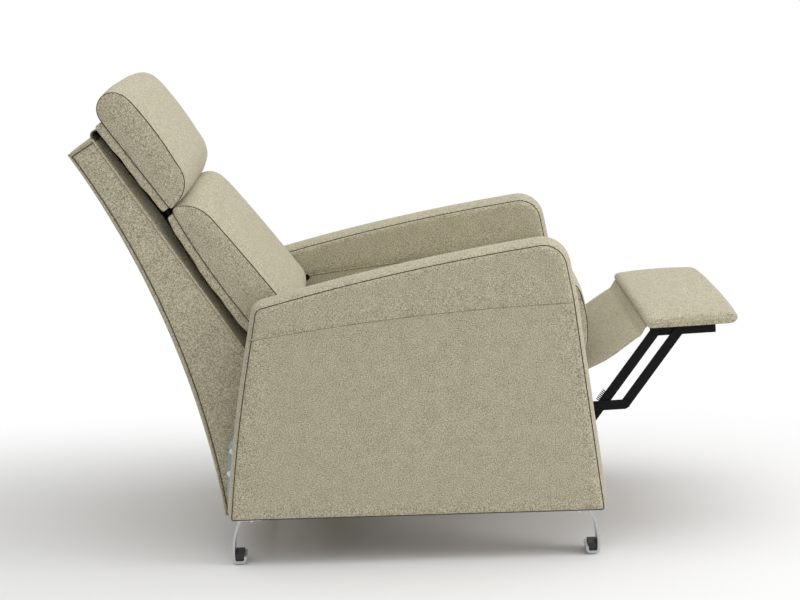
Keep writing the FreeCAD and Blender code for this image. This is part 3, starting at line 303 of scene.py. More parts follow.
def plain(name, colour, roughness, metallic=0.0, specular=0.5, bump=0.0):
    # one colour with a faint unevenness of its gloss, and of its surface where it has a bump
    shader = {"Base Color": (*colour, 1.0), "Metallic": metallic, "Specular IOR Level": specular}
    made, wiring, inputs = material(name, shader)
    cloud = wiring.noise(wiring.coordinates(), *plainGrain["noise"])
    gloss = plainGrain["gloss"]
    spread = wiring.add("ShaderNodeMapRange", {"To Min": roughness - gloss, "To Max": roughness + gloss})
    wiring.join(cloud, spread.inputs["Value"])
    wiring.join(spread.outputs[0], inputs["Roughness"])
    if bump:
        bumped(wiring, inputs, cloud, bump, plainGrain["bumpDistance"])
    return made


patternLooks = {
    # bluish passivated zinc with crystal patches
    "zinc_plate": {
        "name": "zinc finish",
        "texture": ("ShaderNodeTexVoronoi", {"Scale": 140.0}, "Color"),
        "tones": [(0.0, (0.24, 0.30, 0.32)), (1.0, (0.38, 0.45, 0.47))],
        "shader": {"Metallic": 0.85, "Roughness": 0.34},
    },
    # pale softwood: growth rings drawn out along X
    "timber": {
        "name": "timber finish",
        "stretch": (0.25, 1.0, 1.0),
        "texture": ("ShaderNodeTexWave", {"Scale": 26.0, "Distortion": 6.0, "Detail": 3.0}, "Fac"),
        "tones": [(0.2, (0.50, 0.33, 0.18)), (0.8, (0.64, 0.47, 0.29))],
        "shader": {"Roughness": 0.6},
        "bump": (0.12, 0.0005),
    },
    # elastic webbing: narrow ribs across the strap
    "webbing": {
        "name": "webbing finish",
        "texture": ("ShaderNodeTexWave", {"Scale": 180.0, "Distortion": 0.4}, "Fac"),
        "tones": [(0.2, (0.10, 0.09, 0.075)), (0.8, (0.26, 0.23, 0.19))],
        "shader": {"Roughness": 0.85},
        "bump": (0.3, 0.0006),
    },
}


def patterned(look):
    # one texture gives the tones, and the bump where there is one
    made, wiring, inputs = material(look["name"], look["shader"])
    source = wiring.coordinates()
    if "stretch" in look:
        source = wiring.fed("ShaderNodeMapping", source, {"Scale": look["stretch"]})[0]
    kind, values, output = look["texture"]
    pattern = wiring.fed(kind, source, values)[output]
    wiring.join(toned(wiring, pattern, look["tones"]), inputs["Base Color"])
    if "bump" in look:
        bumped(wiring, inputs, pattern, *look["bump"])
    return made


melange = melangeGroup()
finishes = {"cushion_fabric": fabric("cushion cloth"), "arm_fabric": fabric("arm cloth")}
flapCloth = fabric("flap cloth", "UV")
finishes.update({key: plain(*values) for key, values in plainLooks.items()})
finishes.update({key: patterned(look) for key, look in patternLooks.items()})
# thread tubes for the seams: stitching, coloured near black as painted shade of the seam groove
seamShadeThread = plain("seam shadow", (0.060, 0.050, 0.032), 0.9)
# the dark line under the fold of the arm seam: stitching with painted fold shadow
foldShadow = plain("fold shadow", (0.200, 0.175, 0.120), 0.9)

for node in nodes.values():
    for slot in node.material_slots:
        name = slot.material.name.split(".")[0]
        slot.material = finishes[name]
# the front rail of the seat is wrapped in the cloth of its cushion
nodes["seat_front_rail"].material_slots[0].material = finishes["cushion_fabric"]
print("finishes are on the CAD parts")

# Padded pieces: the outline of the side seams, carried across the width. Cell is the length of a
# face, softness the passes of softened, and rise says where along the outline the crown comes in
seamDepth = 0.0016
seamReach = 0.0042
sideLip = 0.0012
threadRadius = 0.0010
threadProud = 0.0003
fewestSideRings = 4


def sideDepth(share, shape):
    # the side is a lip and a flat dome; the share runs from its middle to its seam
    fullness = np.sqrt(1.0 - share * share)
    return shape["half"] + sideLip + shape["dome"] * (1.0 - (1.0 - fullness) ** 2)


def pillowRings(loop, shape, puff):
    # rings from the middle of one side over the width to the middle of the other: the sides are
    # domes, the seams grooves, and between them the outline swells by the crown less a power of
    # the distance from the middle
    outward = outwardOf(loop)
    centre = loop.mean()
    half = shape["half"]
    inner = loop - outward * seamReach
    sideCount = max(fewestSideRings, int(round(np.abs(inner - centre).min() / shape["cell"])))
    side = []
    for share in np.linspace(1.0, 0.0, sideCount, endpoint=False):
        side.append((centre + (inner - centre) * share, sideDepth(share, shape)))
    seam = [(loop - outward * seamDepth, half - seamDepth / 2)]
    rowCount = int(round(2 * half / shape["cell"]))
    rows = []
    for y in np.linspace(-half + seamReach, half - seamReach, rowCount):
        swell = shape["crown"] * (1.0 - abs(y / half) ** shape["squareness"])
        rows.append((loop + outward * (swell * puff), y))
    rings = [(ring, -depth) for ring, depth in reversed(side)]
    rings += [(ring, -depth) for ring, depth in seam]
    rings += rows
    rings += [(ring, depth) for ring, depth in seam]
    rings += side
    seams = (len(side), len(side) + 1 + len(rows))
    middle = half + sideLip + shape["dome"]
    return rings, seams, [(np.array([centre]), -middle), (np.array([centre]), middle)]


clothSetup = {
    "use_pressure": True,
    "tension_stiffness": 25.0,
    "compression_stiffness": 25.0,
    "bending_stiffness": 1.5,
    "air_damping": 4.0,
}
frameCount = 20


def inflate(piece, held, reach, pressure):
    # a short cloth simulation under pressure; held points stay, and no point moves past the reach
    rest = np.empty(len(piece.data.vertices) * 3)
    piece.data.vertices.foreach_get("co", rest)
    rest = rest.reshape(-1, 3)
    group = piece.vertex_groups.new(name="held")
    group.add(held, 1.0, "REPLACE")
    cloth = piece.modifiers.new("Cloth", "CLOTH")
    for key, value in clothSetup.items():
        setattr(cloth.settings, key, value)
    cloth.settings.vertex_group_mass = "held"
    cloth.settings.uniform_pressure_force = pressure
    cloth.settings.effector_weights.gravity = 0.0
    cloth.point_cache.frame_start = 1
    cloth.point_cache.frame_end = frameCount
    scene = bpy.context.scene
    for step in range(1, frameCount + 1):
        scene.frame_set(step)
    graph = bpy.context.evaluated_depsgraph_get()
    puffed = piece.evaluated_get(graph).data
    made = np.empty(rest.size)
    puffed.vertices.foreach_get("co", made)
    move = made.reshape(-1, 3) - rest
    length = np.maximum(np.linalg.norm(move, axis=1), tiny)
    # the cap is soft: a move nears the reach and never passes it
    move *= (reach * np.tanh(length / reach) / length)[:, None]
    scene.frame_set(1)
    furthest, kept = round(float(length.max()) * 1000, 1), round(reach * 1000, 1)
    print("   ", piece.name, "moved up to", furthest, "mm, kept", kept)
    return rest + move


def doubled(grid, closed):
    # a new row between each two, on the cubic through the nearest four
    if closed:
        before, after, later = (np.roll(grid, turn, axis=0) for turn in (1, -1, -2))
        between = (9.0 * (grid + after) - before - later) / 16.0
    else:
        wide = np.concatenate((2.0 * grid[:1] - grid[1:2], grid, 2.0 * grid[-1:] - grid[-2:-1]))
        between = (9.0 * (wide[1:-2] + wide[2:-1]) - wide[:-3] - wide[3:]) / 16.0
    made = np.empty((len(grid) + len(between),) + grid.shape[1:])
    made[0::2] = grid
    made[1::2] = between
    return made


def refined(points, count, seams):
    # twice the points round each ring and twice the rings, with the seams left sharp
    grid = points[:-2].reshape(-1, count, 3)
    stops = [0, *seams, len(grid) - 1]
    parts = [doubled(grid[low:high + 1], False) for low, high in zip(stops[:-1], stops[1:])]
    grid = np.concatenate([parts[0]] + [part[1:] for part in parts[1:]])
    grid = np.swapaxes(doubled(np.swapaxes(grid, 0, 1), True), 0, 1)
    return np.vstack((grid.reshape(-1, 3), points[-2:])), len(grid)


steepLimit = 0.2
threadSides = 6
pipingSides = 8


def tubeAlong(path, radius, sides, closed):
    # a round tube along points in space, with its first side square to Y where the path allows
    path = np.asarray(path)
    if closed:
        along = np.roll(path, -1, axis=0) - np.roll(path, 1, axis=0)
    else:
        along = np.gradient(path, axis=0)
    along /= np.linalg.norm(along, axis=1)[:, None]
    side = np.cross(along, (0.0, 1.0, 0.0))
    weak = np.linalg.norm(side, axis=1) < steepLimit
    side[weak] = np.cross(along[weak], (0.0, 0.0, 1.0))
    side /= np.linalg.norm(side, axis=1)[:, None]
    above = np.cross(along, side)
    angle = fullTurn * np.arange(sides) / sides
    spokes = np.cos(angle)[None, :, None] * side[:, None] + np.sin(angle)[None, :, None] * above[:, None]
    points = (path[:, None] + radius * spokes).reshape(-1, 3)
    count = len(path)
    if not closed:
        return np.vstack((points, path[:1], path[-1:])), tubeFaces(sides, count)
    faces = tubeFaces(sides, count, poles=False)
    k = np.arange(sides)
    after = (k + 1) % sides
    last = (count - 1) * sides
    faces.extend(np.column_stack((last + k, last + after, after, k)).tolist())
    return points, faces


def tubes(name, paths, radius, material, closed=True, sides=threadSides):
    points = []
    faces = []
    for path in paths:
        more, quads = tubeAlong(path, radius, sides, closed)
        faces.extend([[index + len(points) for index in quad] for quad in quads])
        points.extend(more.tolist())
    return newPiece(name, points, faces, material)


def seamShadeThreads(name, loop, rings, seams, place, middle=0.0):
    # a thread in each side seam, standing a little proud of it, its near-black colour painted shade of
    # the seam groove
    outward = outwardOf(loop)
    paths = []
    for ring, y in (rings[seams[0]], rings[seams[1]]):
        paths.append(place(ring + outward * threadProud, middle + y + math.copysign(threadProud, y)))
    return tubes(name + "Seams", paths, threadRadius, seamShadeThread)


heldPuff = 0.02


def pillow(name, shape, body, node, slotName):
    # a stuffed piece with a seam round each side; it is held where it lies on its board, and its
    # crown can grow towards the far end, where the crest begins
    loop = softened(evenly(traced(shape["steps"], shape["size"]), shape["cell"]), shape["softness"])
    rise = ramp(loop.imag / shape["size"][1], *shape["rise"])
    crest = ramp(loop.real / shape["size"][0], *shape["crest"])
    rings, seams, poles = pillowRings(loop, shape, rise * (1.0 + shape["crestPuff"] * crest))
    place = placer(shape["corner"], *shape["directions"])
    points = np.vstack([place(ring, y) for ring, y in rings + poles])
    count = len(loop)
    heldPoints = np.flatnonzero(rise < heldPuff)
    held = [ring * count + k for ring in range(len(rings)) for k in heldPoints.tolist()]
    held += [ring * count + k for ring in seams for k in range(count)]
    draft = newPiece(name + "Draft", points, tubeFaces(count, len(rings)), finishes[slotName])
    points = inflate(draft, sorted(set(held)), shape["reach"], shape["pressure"])
    bpy.data.objects.remove(draft)
    points, ringCount = refined(points, count, seams)
    piece = newPiece(name, points, tubeFaces(2 * count, ringCount), finishes[slotName])
    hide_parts(node)
    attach(piece, body)
    line = seamShadeThreads(name, loop, rings, seams, place)
    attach(line, body)
    print(name, len(points), "points")


seatShape = {
    "corner": (0.357, 0.388),
    "directions": (180.0, 90.0),
    "size": (0.536, 0.150),
    "steps": [
        (0.002, 0.0),
        ((-0.009, 0.347), (0.011, 0.747)),
        ((0.028, 0.907), (0.0765, 0.987)),
        ((0.524, 0.727), (0.953, 0.347)),
        ((0.991, 0.28), (1.002, 0.16)),
        (1.013, -0.667),
    ],
    "cell": 0.0085,
    "half": 0.269,
    "crown": 0.007,
    "squareness": 2.6,
    "dome": 0.0,
    "rise": (0.05, 0.6),
    "crest": (0.8, 0.97),
    "crestPuff": 0.0,
    "softness": 3,
    "reach": 0.008,
    "pressure": 4.0,
    "fill": 0.85,
}
pillow("seatCushion", seatShape, "seat", "seat_cushion", "cushion_fabric")

backShape = {
    "corner": (-0.266967, 0.422056),
    "directions": (123.3, 33.3),
    "size": (0.324, 0.076),
    "steps": [
        (0.0, 0.0),
        ((0.5, -0.118), (1.014, -0.02)),
        (1.022, 0.1),
        ((0.975, 0.45), (0.85, 0.73)),
        ((0.447, 0.888), (0.052, 1.0)),
        ((0.018, 0.947), (0.008, 0.816)),
    ],
    "cell": 0.0085,
    "half": 0.272,
    "crown": 0.009,
    "squareness": 2.6,
    "dome": 0.001,
    "rise": (0.0, 0.6),
    "crest": (0.8, 0.97),
    "crestPuff": 2.0,
    "softness": 2,
    "reach": 0.007,
    "pressure": 4.0,
    "fill": 0.8,
}
pillow("backCushion", backShape, "backrest", "back_cushion", "cushion_fabric")

headShape = {
    "corner": (-0.44877, 0.69828),
    "directions": (125.9, 35.9),
    "size": (0.250, 0.072),
    "steps": [
        (-0.016, -0.02),
        (0.888, 0.0),
        ((0.992, 0.236), (1.0, 0.694)),
        ((0.952, 0.861), (0.84, 0.986)),
        ((0.512, 1.007), (0.24, 0.924)),
        ((0.1, 0.806), (0.014, 0.4)),
    ],
    "cell": 0.0085,
    "half": 0.272,
    "crown": 0.008,
    "squareness": 2.6,
    "dome": 0.001,
    "rise": (0.0, 0.6),
    "crest": (0.8, 0.97),
    "crestPuff": 0.0,
    "softness": 2,
    "reach": 0.006,
    "pressure": 4.0,
    "fill": 0.85,
}
pillow("headCushion", headShape, "headrest", "head_cushion", "cushion_fabric")

# Arms: foam over a timber core, one seam round each face and one along it. Seam is x and z of
# three points of the latter, above which the face stands one step further out
armShape = {
    "corner": (-0.350, 0.094),
    "directions": (0.0, 90.0),
    "size": (0.731, 0.527),
    "steps": [
        (0.0, 0.0),
        ((0.0295, 0.3397), (0.0725, 0.6774)),
        (0.0848, 0.7704),
        ((0.0903, 0.7894), (0.1053, 0.7989)),
        ((0.4624, 0.9137), (0.829, 0.9991)),
        ((0.8837, 0.9829), (0.907, 0.9317)),
        (0.9261, 0.7913),
        (1.0, 0.0),
    ],
    "cell": 0.0052,
    "half": 0.040,
    "crown": 0.0095,
    "squareness": 2.0,
    "dome": 0.0015,
    "rise": (0.0, 0.02),
    "softness": 1,
    "fill": 0.95,
    "middle": 0.325,
    "seam": ((-0.296, 0.452), (-0.033, 0.486), (0.322, 0.508)),
    "seamSpan": (-0.302, 0.320),
    "seamPoints": 120,
    "step": 0.0026,
    "stepWidth": 0.012,
    "faceSlack": 1e-4,
}
# the seam's two lines, a light fold and under it stitching coloured as painted fold shadow: height above
# it, depth below the face, radius and finish
panelLines = {
    "PanelFold": (0.0016, 0.0006, 0.0016, finishes["arm_fabric"]),
    "PanelStitching": (-0.0004, 0.0002, 0.0006, foldShadow),
}


def parabola(points):
    # height of the curve through three points, as a function of x
    (x0, z0), (x1, z1), (x2, z2) = points
    slope = (z1 - z0) / (x1 - x0)
    bend = ((z2 - z1) / (x2 - x1) - slope) / (x2 - x0)
    return lambda x: z0 + slope * (x - x0) + bend * (x - x0) * (x - x1)


def faceDepth(spots, inner, shape):
    # how far the padded face stands from the middle of the arm at given outline points
    centre = inner.mean()
    away = spots - centre
    order = np.argsort(np.angle(inner - centre))
    bearings = np.angle(inner - centre)[order]
    reach = np.interp(np.angle(away), bearings, np.abs(inner - centre)[order], period=fullTurn)
    return sideDepth(np.clip(np.abs(away) / reach, 0.0, 1.0), shape)


def panelSeam(name, shape, inner, seamHeight, sign):
    # the seam along both faces: the upper cloth's folded edge, with a dark line below it that is
    # stitching coloured as painted shadow of the fold
    corner = complex(*shape["corner"])
    x = np.linspace(*shape["seamSpan"], shape["seamPoints"])
    z = seamHeight(x)
    depth = faceDepth(x + 1j * z - corner, inner, shape)
    for part, (lift, sunk, radius, finish) in panelLines.items():
        paths = []
        for face in (-1.0, 1.0):
            y = sign * shape["middle"] + face * (depth - sunk)
            paths.append(np.column_stack((x, y, z + lift)))
        line = tubes(name + part, paths, radius, finish, closed=False, sides=pipingSides)
        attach(line, "base")


def arm(side, sign):
    # a padded piece shaped by its outline alone, whose faces step out above the panel seam
    shape = armShape
    middle = sign * shape["middle"]
    loop = softened(evenly(traced(shape["steps"], shape["size"]), shape["cell"]), shape["softness"])
    puff = ramp(loop.imag / shape["size"][1], *shape["rise"])
    rings, seams, poles = pillowRings(loop, shape, puff)
    place = placer(shape["corner"], *shape["directions"])
    points = np.vstack([place(ring, y) for ring, y in rings + poles])
    seamHeight = parabola(shape["seam"])
    onFace = np.abs(points[:, 1]) > shape["half"] - shape["faceSlack"]
    above = ramp(points[:, 2] - seamHeight(points[:, 0]), 0.0, shape["stepWidth"])
    points[:, 1] += np.sign(points[:, 1]) * onFace * above * shape["step"]
    points[:, 1] += middle
    name = "armCover" + side.capitalize()
    piece = newPiece(name, points, tubeFaces(len(loop), len(rings)), finishes["arm_fabric"])
    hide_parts("arm_cover_" + side)
    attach(piece, "base")
    line = seamShadeThreads(name, loop, rings, seams, place, middle)
    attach(line, "base")
    panelSeam(name, shape, loop - outwardOf(loop) * seamReach, seamHeight, sign)
    print(name, len(points), "points")


for side, sign in bothSides:
    arm(side, sign)

# Footrest pad: cloth wrapped over foam and board, with rounded edges. Edge rise and crown rise
# are shares of its height, spine is the share of its depth that the ends close on
padShape = {
    "corner": (0.4940889, 0.4256384),
    "directions": (2.0, 92.0),
    "size": (0.182, 0.022),
    "start": (-0.019, 0.011),
    "steps": [
        (0.02, 0.0),
        ((-0.006, 0.4), (0.022, 0.78)),
        ((0.49, 1.0), (0.955, 0.9)),
        ((1.006, 0.5), (0.965, 0.08)),
        (0.915, 0.0),
    ],
    "cell": 0.005,
    "softness": 2,
    "half": 0.281,
    "rows": 60,
    "crown": 0.007,
    "squareness": 3.0,
    "crownRise": (0.3, 0.9),
    "edge": 0.007,
    "edgeRise": (0.0, 0.3),
    "spine": 0.86,
    "closing": (0.35, 0.7, 0.95),
    "closingStep": 0.0006,
    "poleLift": 0.002,
    "fill": 0.8,
}
edgeRings = 5


def roundedEnd(loop, outward, half, edge, share):
    # a quarter circle that leads from the flat end to the full outline
    rings = []
    for turn in np.linspace(0.0, quarterTurn, edgeRings):
        inwards = edge * (1.0 - math.sin(turn)) * share
        rings.append((loop - outward * inwards, -half + edge * (1.0 - math.cos(turn))))
    return rings


def footrestPad():
    # the outline with rounded ends, swelling by a crown on its upper side
    shape = padShape
    loop = evenly(traced(shape["steps"], shape["size"]), shape["cell"])
    up = loop.imag / shape["size"][1]
    loop = softened(loop, shape["softness"])
    outward = outwardOf(loop)
    offset = complex(*shape["start"])
    half = shape["half"]
    edge = shape["edge"]
    ends = roundedEnd(loop, outward, half, edge, ramp(up, *shape["edgeRise"]))
    rings = list(ends)
    for y in np.linspace(-half + 2 * edge, half - 2 * edge, shape["rows"]):
        swell = shape["crown"] * (1.0 - abs(y / half) ** shape["squareness"])
        rings.append((loop + outward * swell * ramp(up, *shape["crownRise"]), y))
    rings += [(ring, -y) for ring, y in reversed(ends)]
    middle = loop.real.mean()
    spine = middle + (loop.real - middle) * shape["spine"] + 1j * loop.imag.mean()
    sides = []
    for index, share in enumerate(shape["closing"]):
        ring = ends[0][0] * (1 - share) + spine * share
        sides.append((ring, -half - shape["closingStep"] * (index + 1)))
    rings = sides[::-1] + rings + [(ring, -y) for ring, y in sides]
    place = placer(shape["corner"], *shape["directions"])
    points = np.vstack([place(ring + offset, y) for ring, y in rings])
    centre = np.array([spine.mean()]) + offset
    reach = half + shape["poleLift"]
    points = np.vstack((points, place(centre, -reach), place(centre, reach)))
    faces = tubeFaces(len(loop), len(rings))
    piece = newPiece("footrestPad", points, faces, finishes["cushion_fabric"])
    smooth = piece.modifiers.new("Round", "SUBSURF")
    smooth.levels = 1
    smooth.render_levels = 1
    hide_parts("footrest_pad")
    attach(piece, "footrest")
    print("footrestPad", len(points), "points")


footrestPad()

# Boards of the back and head, wrapped in the same cloth. Low and high lie along the cushion,
# front and rear across it
boardShapes = {
    "backBoardCover": {
        "frame": backShape,
        "node": "back_board",
        "body": "backrest",
        "front": 0.0045,
        "bow": -0.009,
        "low": 0.0,
        "high": 0.3205,
    },
    "headBoardCover": {
        "frame": headShape,
        "node": "head_board",
        "body": "headrest",
        "front": 0.0022,
        "bow": 0.0,
        "low": 0.0035,
        "high": 0.214,
    },
}
boardForm = {
    "rear": -0.0163,
    "half": 0.2712,
    "edge": 0.0035,
    "cell": 0.003,
    "softness": 3,
    "columns": 80,
    "rows": 12,
    "rowsInset": 0.02,
    "pull": 0.0009,
    "pullTurns": (61.0, 143.0),
    "pullShare": 0.6,
    "pullShift": 1.0,
}


def boardCover(name, shape):
    # a slab with rounded edges, bowed like the cushion that lies on it; the pull of the cloth
    # over its rear is a sum of two sines
    form = boardForm
    along = np.linspace(shape["low"], shape["high"], form["columns"])
    share = (along - shape["low"]) / (shape["high"] - shape["low"])
    bow = shape["bow"] * 4 * share * (1 - share)
    wideTurns, fineTurns = form["pullTurns"]
    ripple = form["pullShare"] * np.sin(fineTurns * along + form["pullShift"])
    pull = form["pull"] * (np.sin(wideTurns * along) + ripple)
    front = along + 1j * (shape["front"] + bow)
    rear = along + 1j * (form["rear"] + bow + pull)
    loop = softened(evenly(np.concatenate((front, rear[::-1])), form["cell"]), form["softness"])
    half = form["half"]
    ends = roundedEnd(loop, outwardOf(loop), half, form["edge"], 1.0)
    reach = half - form["rowsInset"]
    rings = ends + [(loop, y) for y in np.linspace(-reach, reach, form["rows"])]
    rings += [(ring, -y) for ring, y in reversed(ends)]
    place = placer(shape["frame"]["corner"], *shape["frame"]["directions"])
    points = np.vstack([place(ring, y) for ring, y in rings])
    faces = tubeFaces(len(loop), len(rings), poles=False)
    last = (len(rings) - 1) * len(loop)
    faces += [list(range(len(loop))), list(range(last, last + len(loop)))]
    piece = newPiece(name, points, faces, finishes["cushion_fabric"])
    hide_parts(shape["node"])
    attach(piece, shape["body"])
    print(name, len(points), "points")


for name, shape in boardShapes.items():
    boardCover(name, shape)

# The shell: weld in metres, flat and sharp are angles in degrees between faces
shellEdges = {"weld": 1e-5, "flat": 0.6, "sharp": 30.0, "width": 0.005, "segments": 4}


def shellCover():
    # the shell's own solid with its edges rounded as cloth rounds them
    source = nodes["back_shell"]
    mesh = source.data.copy()
    work = bmesh.new()
    work.from_mesh(mesh)
    bmesh.ops.remove_doubles(work, verts=work.verts, dist=shellEdges["weld"])
    flat = math.radians(shellEdges["flat"])
    bmesh.ops.dissolve_limit(work, angle_limit=flat, verts=work.verts, edges=work.edges)
    work.to_mesh(mesh)
    work.free()
    mesh.name = "shellCover"
    mesh.materials.clear()
    mesh.materials.append(finishes["cushion_fabric"])
    piece = bpy.data.objects.new("shellCover", mesh)
    bpy.context.scene.collection.objects.link(piece)
    bevel = piece.modifiers.new("Edges", "BEVEL")
    bevel.width = shellEdges["width"]
    bevel.segments = shellEdges["segments"]
    bevel.limit_method = "ANGLE"
    bevel.angle_limit = math.radians(shellEdges["sharp"])
    bevel.harden_normals = True
    mesh.polygons.foreach_set("use_smooth", np.full(len(mesh.polygons), True))
    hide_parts("back_shell")
    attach(piece, "backrest")


shellCover()

# Trimmings of the shell: rear is x and z of its rear edge at the sides, front and front depth
# lie along and across the back cushion
shellTrim = {
    "rear": (-0.367 + 0.0798j, -0.4643 + 0.4694j, -0.641 + 0.8098j),
    "front": (-0.05, 0.5278),
    "frontDepth": -0.0443,
    "points": (60, 40, 12),
    "side": 0.2726,
    "stitchInset": 0.0055,
    "topInset": 1.3,
    "pipingRadius": 0.0021,
    "pipingInset": 0.0014,
}


def shellTrimmings():
    # piping on the edges of the sides, and a stitched line just inside the rear and the top, dark with
    # painted seam shade
    shape = shellTrim
    rearCount, frontCount, crownCount = shape["points"]
    rear = arcThrough(*shape["rear"], count=rearCount)
    place = placer(backShape["corner"], *backShape["directions"])
    front = place(np.linspace(*shape["front"], frontCount) + 1j * shape["frontDepth"], 0.0)
    front = front[:, 0] + 1j * front[:, 2]
    crown = np.linspace(rear[-1], front[-1], crownCount)
    into = -1j * np.gradient(rear)
    into /= np.abs(into)
    down = 1j * np.gradient(crown)
    down *= -1.0 / np.abs(down)
    inset = shape["stitchInset"]
    stitch = np.concatenate(((rear + into * inset)[:-1], (crown + down * inset * shape["topInset"])[1:]))
    inside = shape["pipingInset"]
    edges = (rear + into * inside, crown + down * inside, front)
    stitched = []
    piped = []
    for side, sign in bothSides:
        stitched.append(lifted(stitch, sign * (shape["side"] + threadProud)))
        piped.extend(lifted(edge, sign * (shape["side"] - inside / 2)) for edge in edges)
    for name, paths, radius, finish in (
        ("shellStitchingShade", stitched, threadRadius, seamShadeThread),
        ("shellPiping", piped, shape["pipingRadius"], finishes["cushion_fabric"]),
    ):
        line = tubes(name, paths, radius, finish, closed=False, sides=pipingSides)
        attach(line, "backrest")


shellTrimmings()


# Cloth in one layer: a grid of points with a thickness, its lengths in metres kept as its UV
def lengthAlong(grid, axis):
    # lengths from the first row or column on, each the mean of all that run beside it
    steps = np.linalg.norm(np.diff(grid, axis=axis), axis=2).mean(axis=1 - axis)
    return np.append(0.0, np.cumsum(steps))


def clothPiece(name, grid, thickness, material):
    # both faces lie half the thickness off the grid along its normals, and a rim joins them
    rows, columns = grid.shape[:2]
    normal = np.cross(np.gradient(grid, axis=0), np.gradient(grid, axis=1))
    normal *= thickness / 2 / np.linalg.norm(normal, axis=2)[:, :, None]
    points = np.concatenate((grid + normal, grid - normal)).reshape(-1, 3)
    index = np.arange(rows * columns).reshape(rows, columns)
    corners = (index[:-1, :-1], index[1:, :-1], index[1:, 1:], index[:-1, 1:])
    cells = np.stack(corners, axis=-1).reshape(-1, 4)
    rim = np.concatenate((index[0], index[1:, -1], index[-1, -2::-1], index[-2:0:-1, 0]))
    after = np.roll(rim, -1)
    below = rows * columns
    border = np.column_stack((rim, after, after + below, rim + below))
    faces = np.concatenate((cells, cells[:, ::-1] + below, border)).tolist()
    piece = newPiece(name, points, faces, material)
    length, width = lengthAlong(grid, 0), lengthAlong(grid, 1)
    flat = np.stack(np.meshgrid(width, length), axis=-1).reshape(-1, 2)
    spread = np.concatenate((flat, flat))
    corner = np.empty(len(piece.data.loops), int)
    piece.data.loops.foreach_get("vertex_index", corner)
    piece.data.uv_layers.new(name="flat").data.foreach_set("uv", spread[corner].ravel())
    print(name, "is cut", round(float(width[-1]), 3), "by", round(float(length[-1]), 3), "m")
    return piece, (float(width[-1]), float(length[-1]))


# Start and end are x and z at the seat front and at the pad
flapShape = {
    "start": (0.3506, 0.3521),
    "end": (0.4785, 0.4395),
    "half": 0.269,
    "points": (60, 120),
    "hang": 0.0105,
    "hangSpan": (0.0, 0.75),
    "returnSpan": (0.84, 1.0),
    "wave": 0.0034,
    "waveTurn": 6.28,
    "waveFade": 0.4,
    "fold": 0.0028,
    "foldFullness": 1.2,
    "foldTurns": (21.0, 2.6),
    "driftTurns": (7.0, 0.7),
    "thickness": 0.0018,
    "foldedAxis": (0.6975, 0.0, 0.7166),
    "foldedKeep": 0.025,
}


def calfFlap():
    # cloth from the seat front to the pad: a straight run, less a slow hang that comes back near
    # the pad, a wave along it that fades across, and soft folds that are a product of two sines
    shape = flapShape
    start, end = complex(*shape["start"]), complex(*shape["end"])
    half = shape["half"]
    rows, columns = shape["points"]
    share = np.linspace(0.0, 1.0, rows)[:, None]
    y = np.linspace(-half, half, columns)[None, :]
    lean = (end - start) / abs(end - start)
    drop = shape["hang"] * (ramp(share, *shape["hangSpan"]) - ramp(share, *shape["returnSpan"]))
    fade = 1.0 - shape["waveFade"] * ramp(y, -half, half)
    drop = drop + shape["wave"] * np.sin(shape["waveTurn"] * share) * fade
    fullness = np.maximum(np.sin(math.pi * share), 0.0) ** shape["foldFullness"]
    acrossTurns, alongTurns = shape["foldTurns"]
    driftTurns, driftShift = shape["driftTurns"]
    folds = np.sin(acrossTurns * y + alongTurns * share) * np.cos(driftTurns * y + driftShift)
    drop = drop + shape["fold"] * fullness * folds
    line = start + (end - start) * share - 1j * lean * drop
    grid = np.stack((line.real, np.broadcast_to(y, line.shape), line.imag), axis=-1)
    piece, flat = clothPiece("calfFlap", grid, shape["thickness"], flapCloth)
    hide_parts("calf_flap")
    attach(piece, "seat")
    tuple(shape["foldedAxis"])
    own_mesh(piece)


calfFlap()

# Path is x and z from the shell's top over the gap to the head board
gussetShape = {
    "path": (-0.5925 + 0.835j, -0.5975 + 0.848j, -0.5835 + 0.8555j, -0.574 + 0.8425j),
    "overlap": 10,
    "cell": 0.0015,
    "half": 0.2555,
    "columns": 90,
    "slack": 0.0012,
    "slackTurns": (38.0, 2.0),
    "thickness": 0.0018,
}


def headGusset():
    # a loop of cloth over the gap between the shell and the head board, in two arcs that share
    # their middle; its slack is a sine across that dies out at both edges
    shape = gussetShape
    first, way, crest, last = shape["path"]
    arcs = (arcThrough(first, way, crest), arcThrough(way, crest, last)[shape["overlap"]:])
    line = evenly(np.concatenate(arcs), shape["cell"], False)[:, None]
    y = np.linspace(-shape["half"], shape["half"], shape["columns"])[None, :]
    share = np.linspace(0.0, 1.0, len(line))[:, None]
    acrossTurns, alongTurns = shape["slackTurns"]
    looseness = np.sin(math.pi * share) * np.sin(acrossTurns * y + alongTurns * share)
    spot = line + 1j * shape["slack"] * looseness
    grid = np.stack((spot.real, np.broadcast_to(y, spot.shape), spot.imag), axis=-1)
    piece, flat = clothPiece("headGusset", grid, shape["thickness"], flapCloth)
    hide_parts("headrest_gusset")
    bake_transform(piece)


headGusset()

# Low and high lie along the back cushion; edge is the depth across it and the y of the wing's edge
liningShape = {
    "low": -0.045,
    "high": 0.520,
    "points": (90, 10),
    "edge": (-0.0452, 0.2708),
    "behind": 0.0265,
    "inner": 0.221,
    "easing": 0.8,
    "slack": 0.0012,
    "slackTurns": 57.0,
    "headLean": 0.0454,
    "thickness": 0.0016,
}


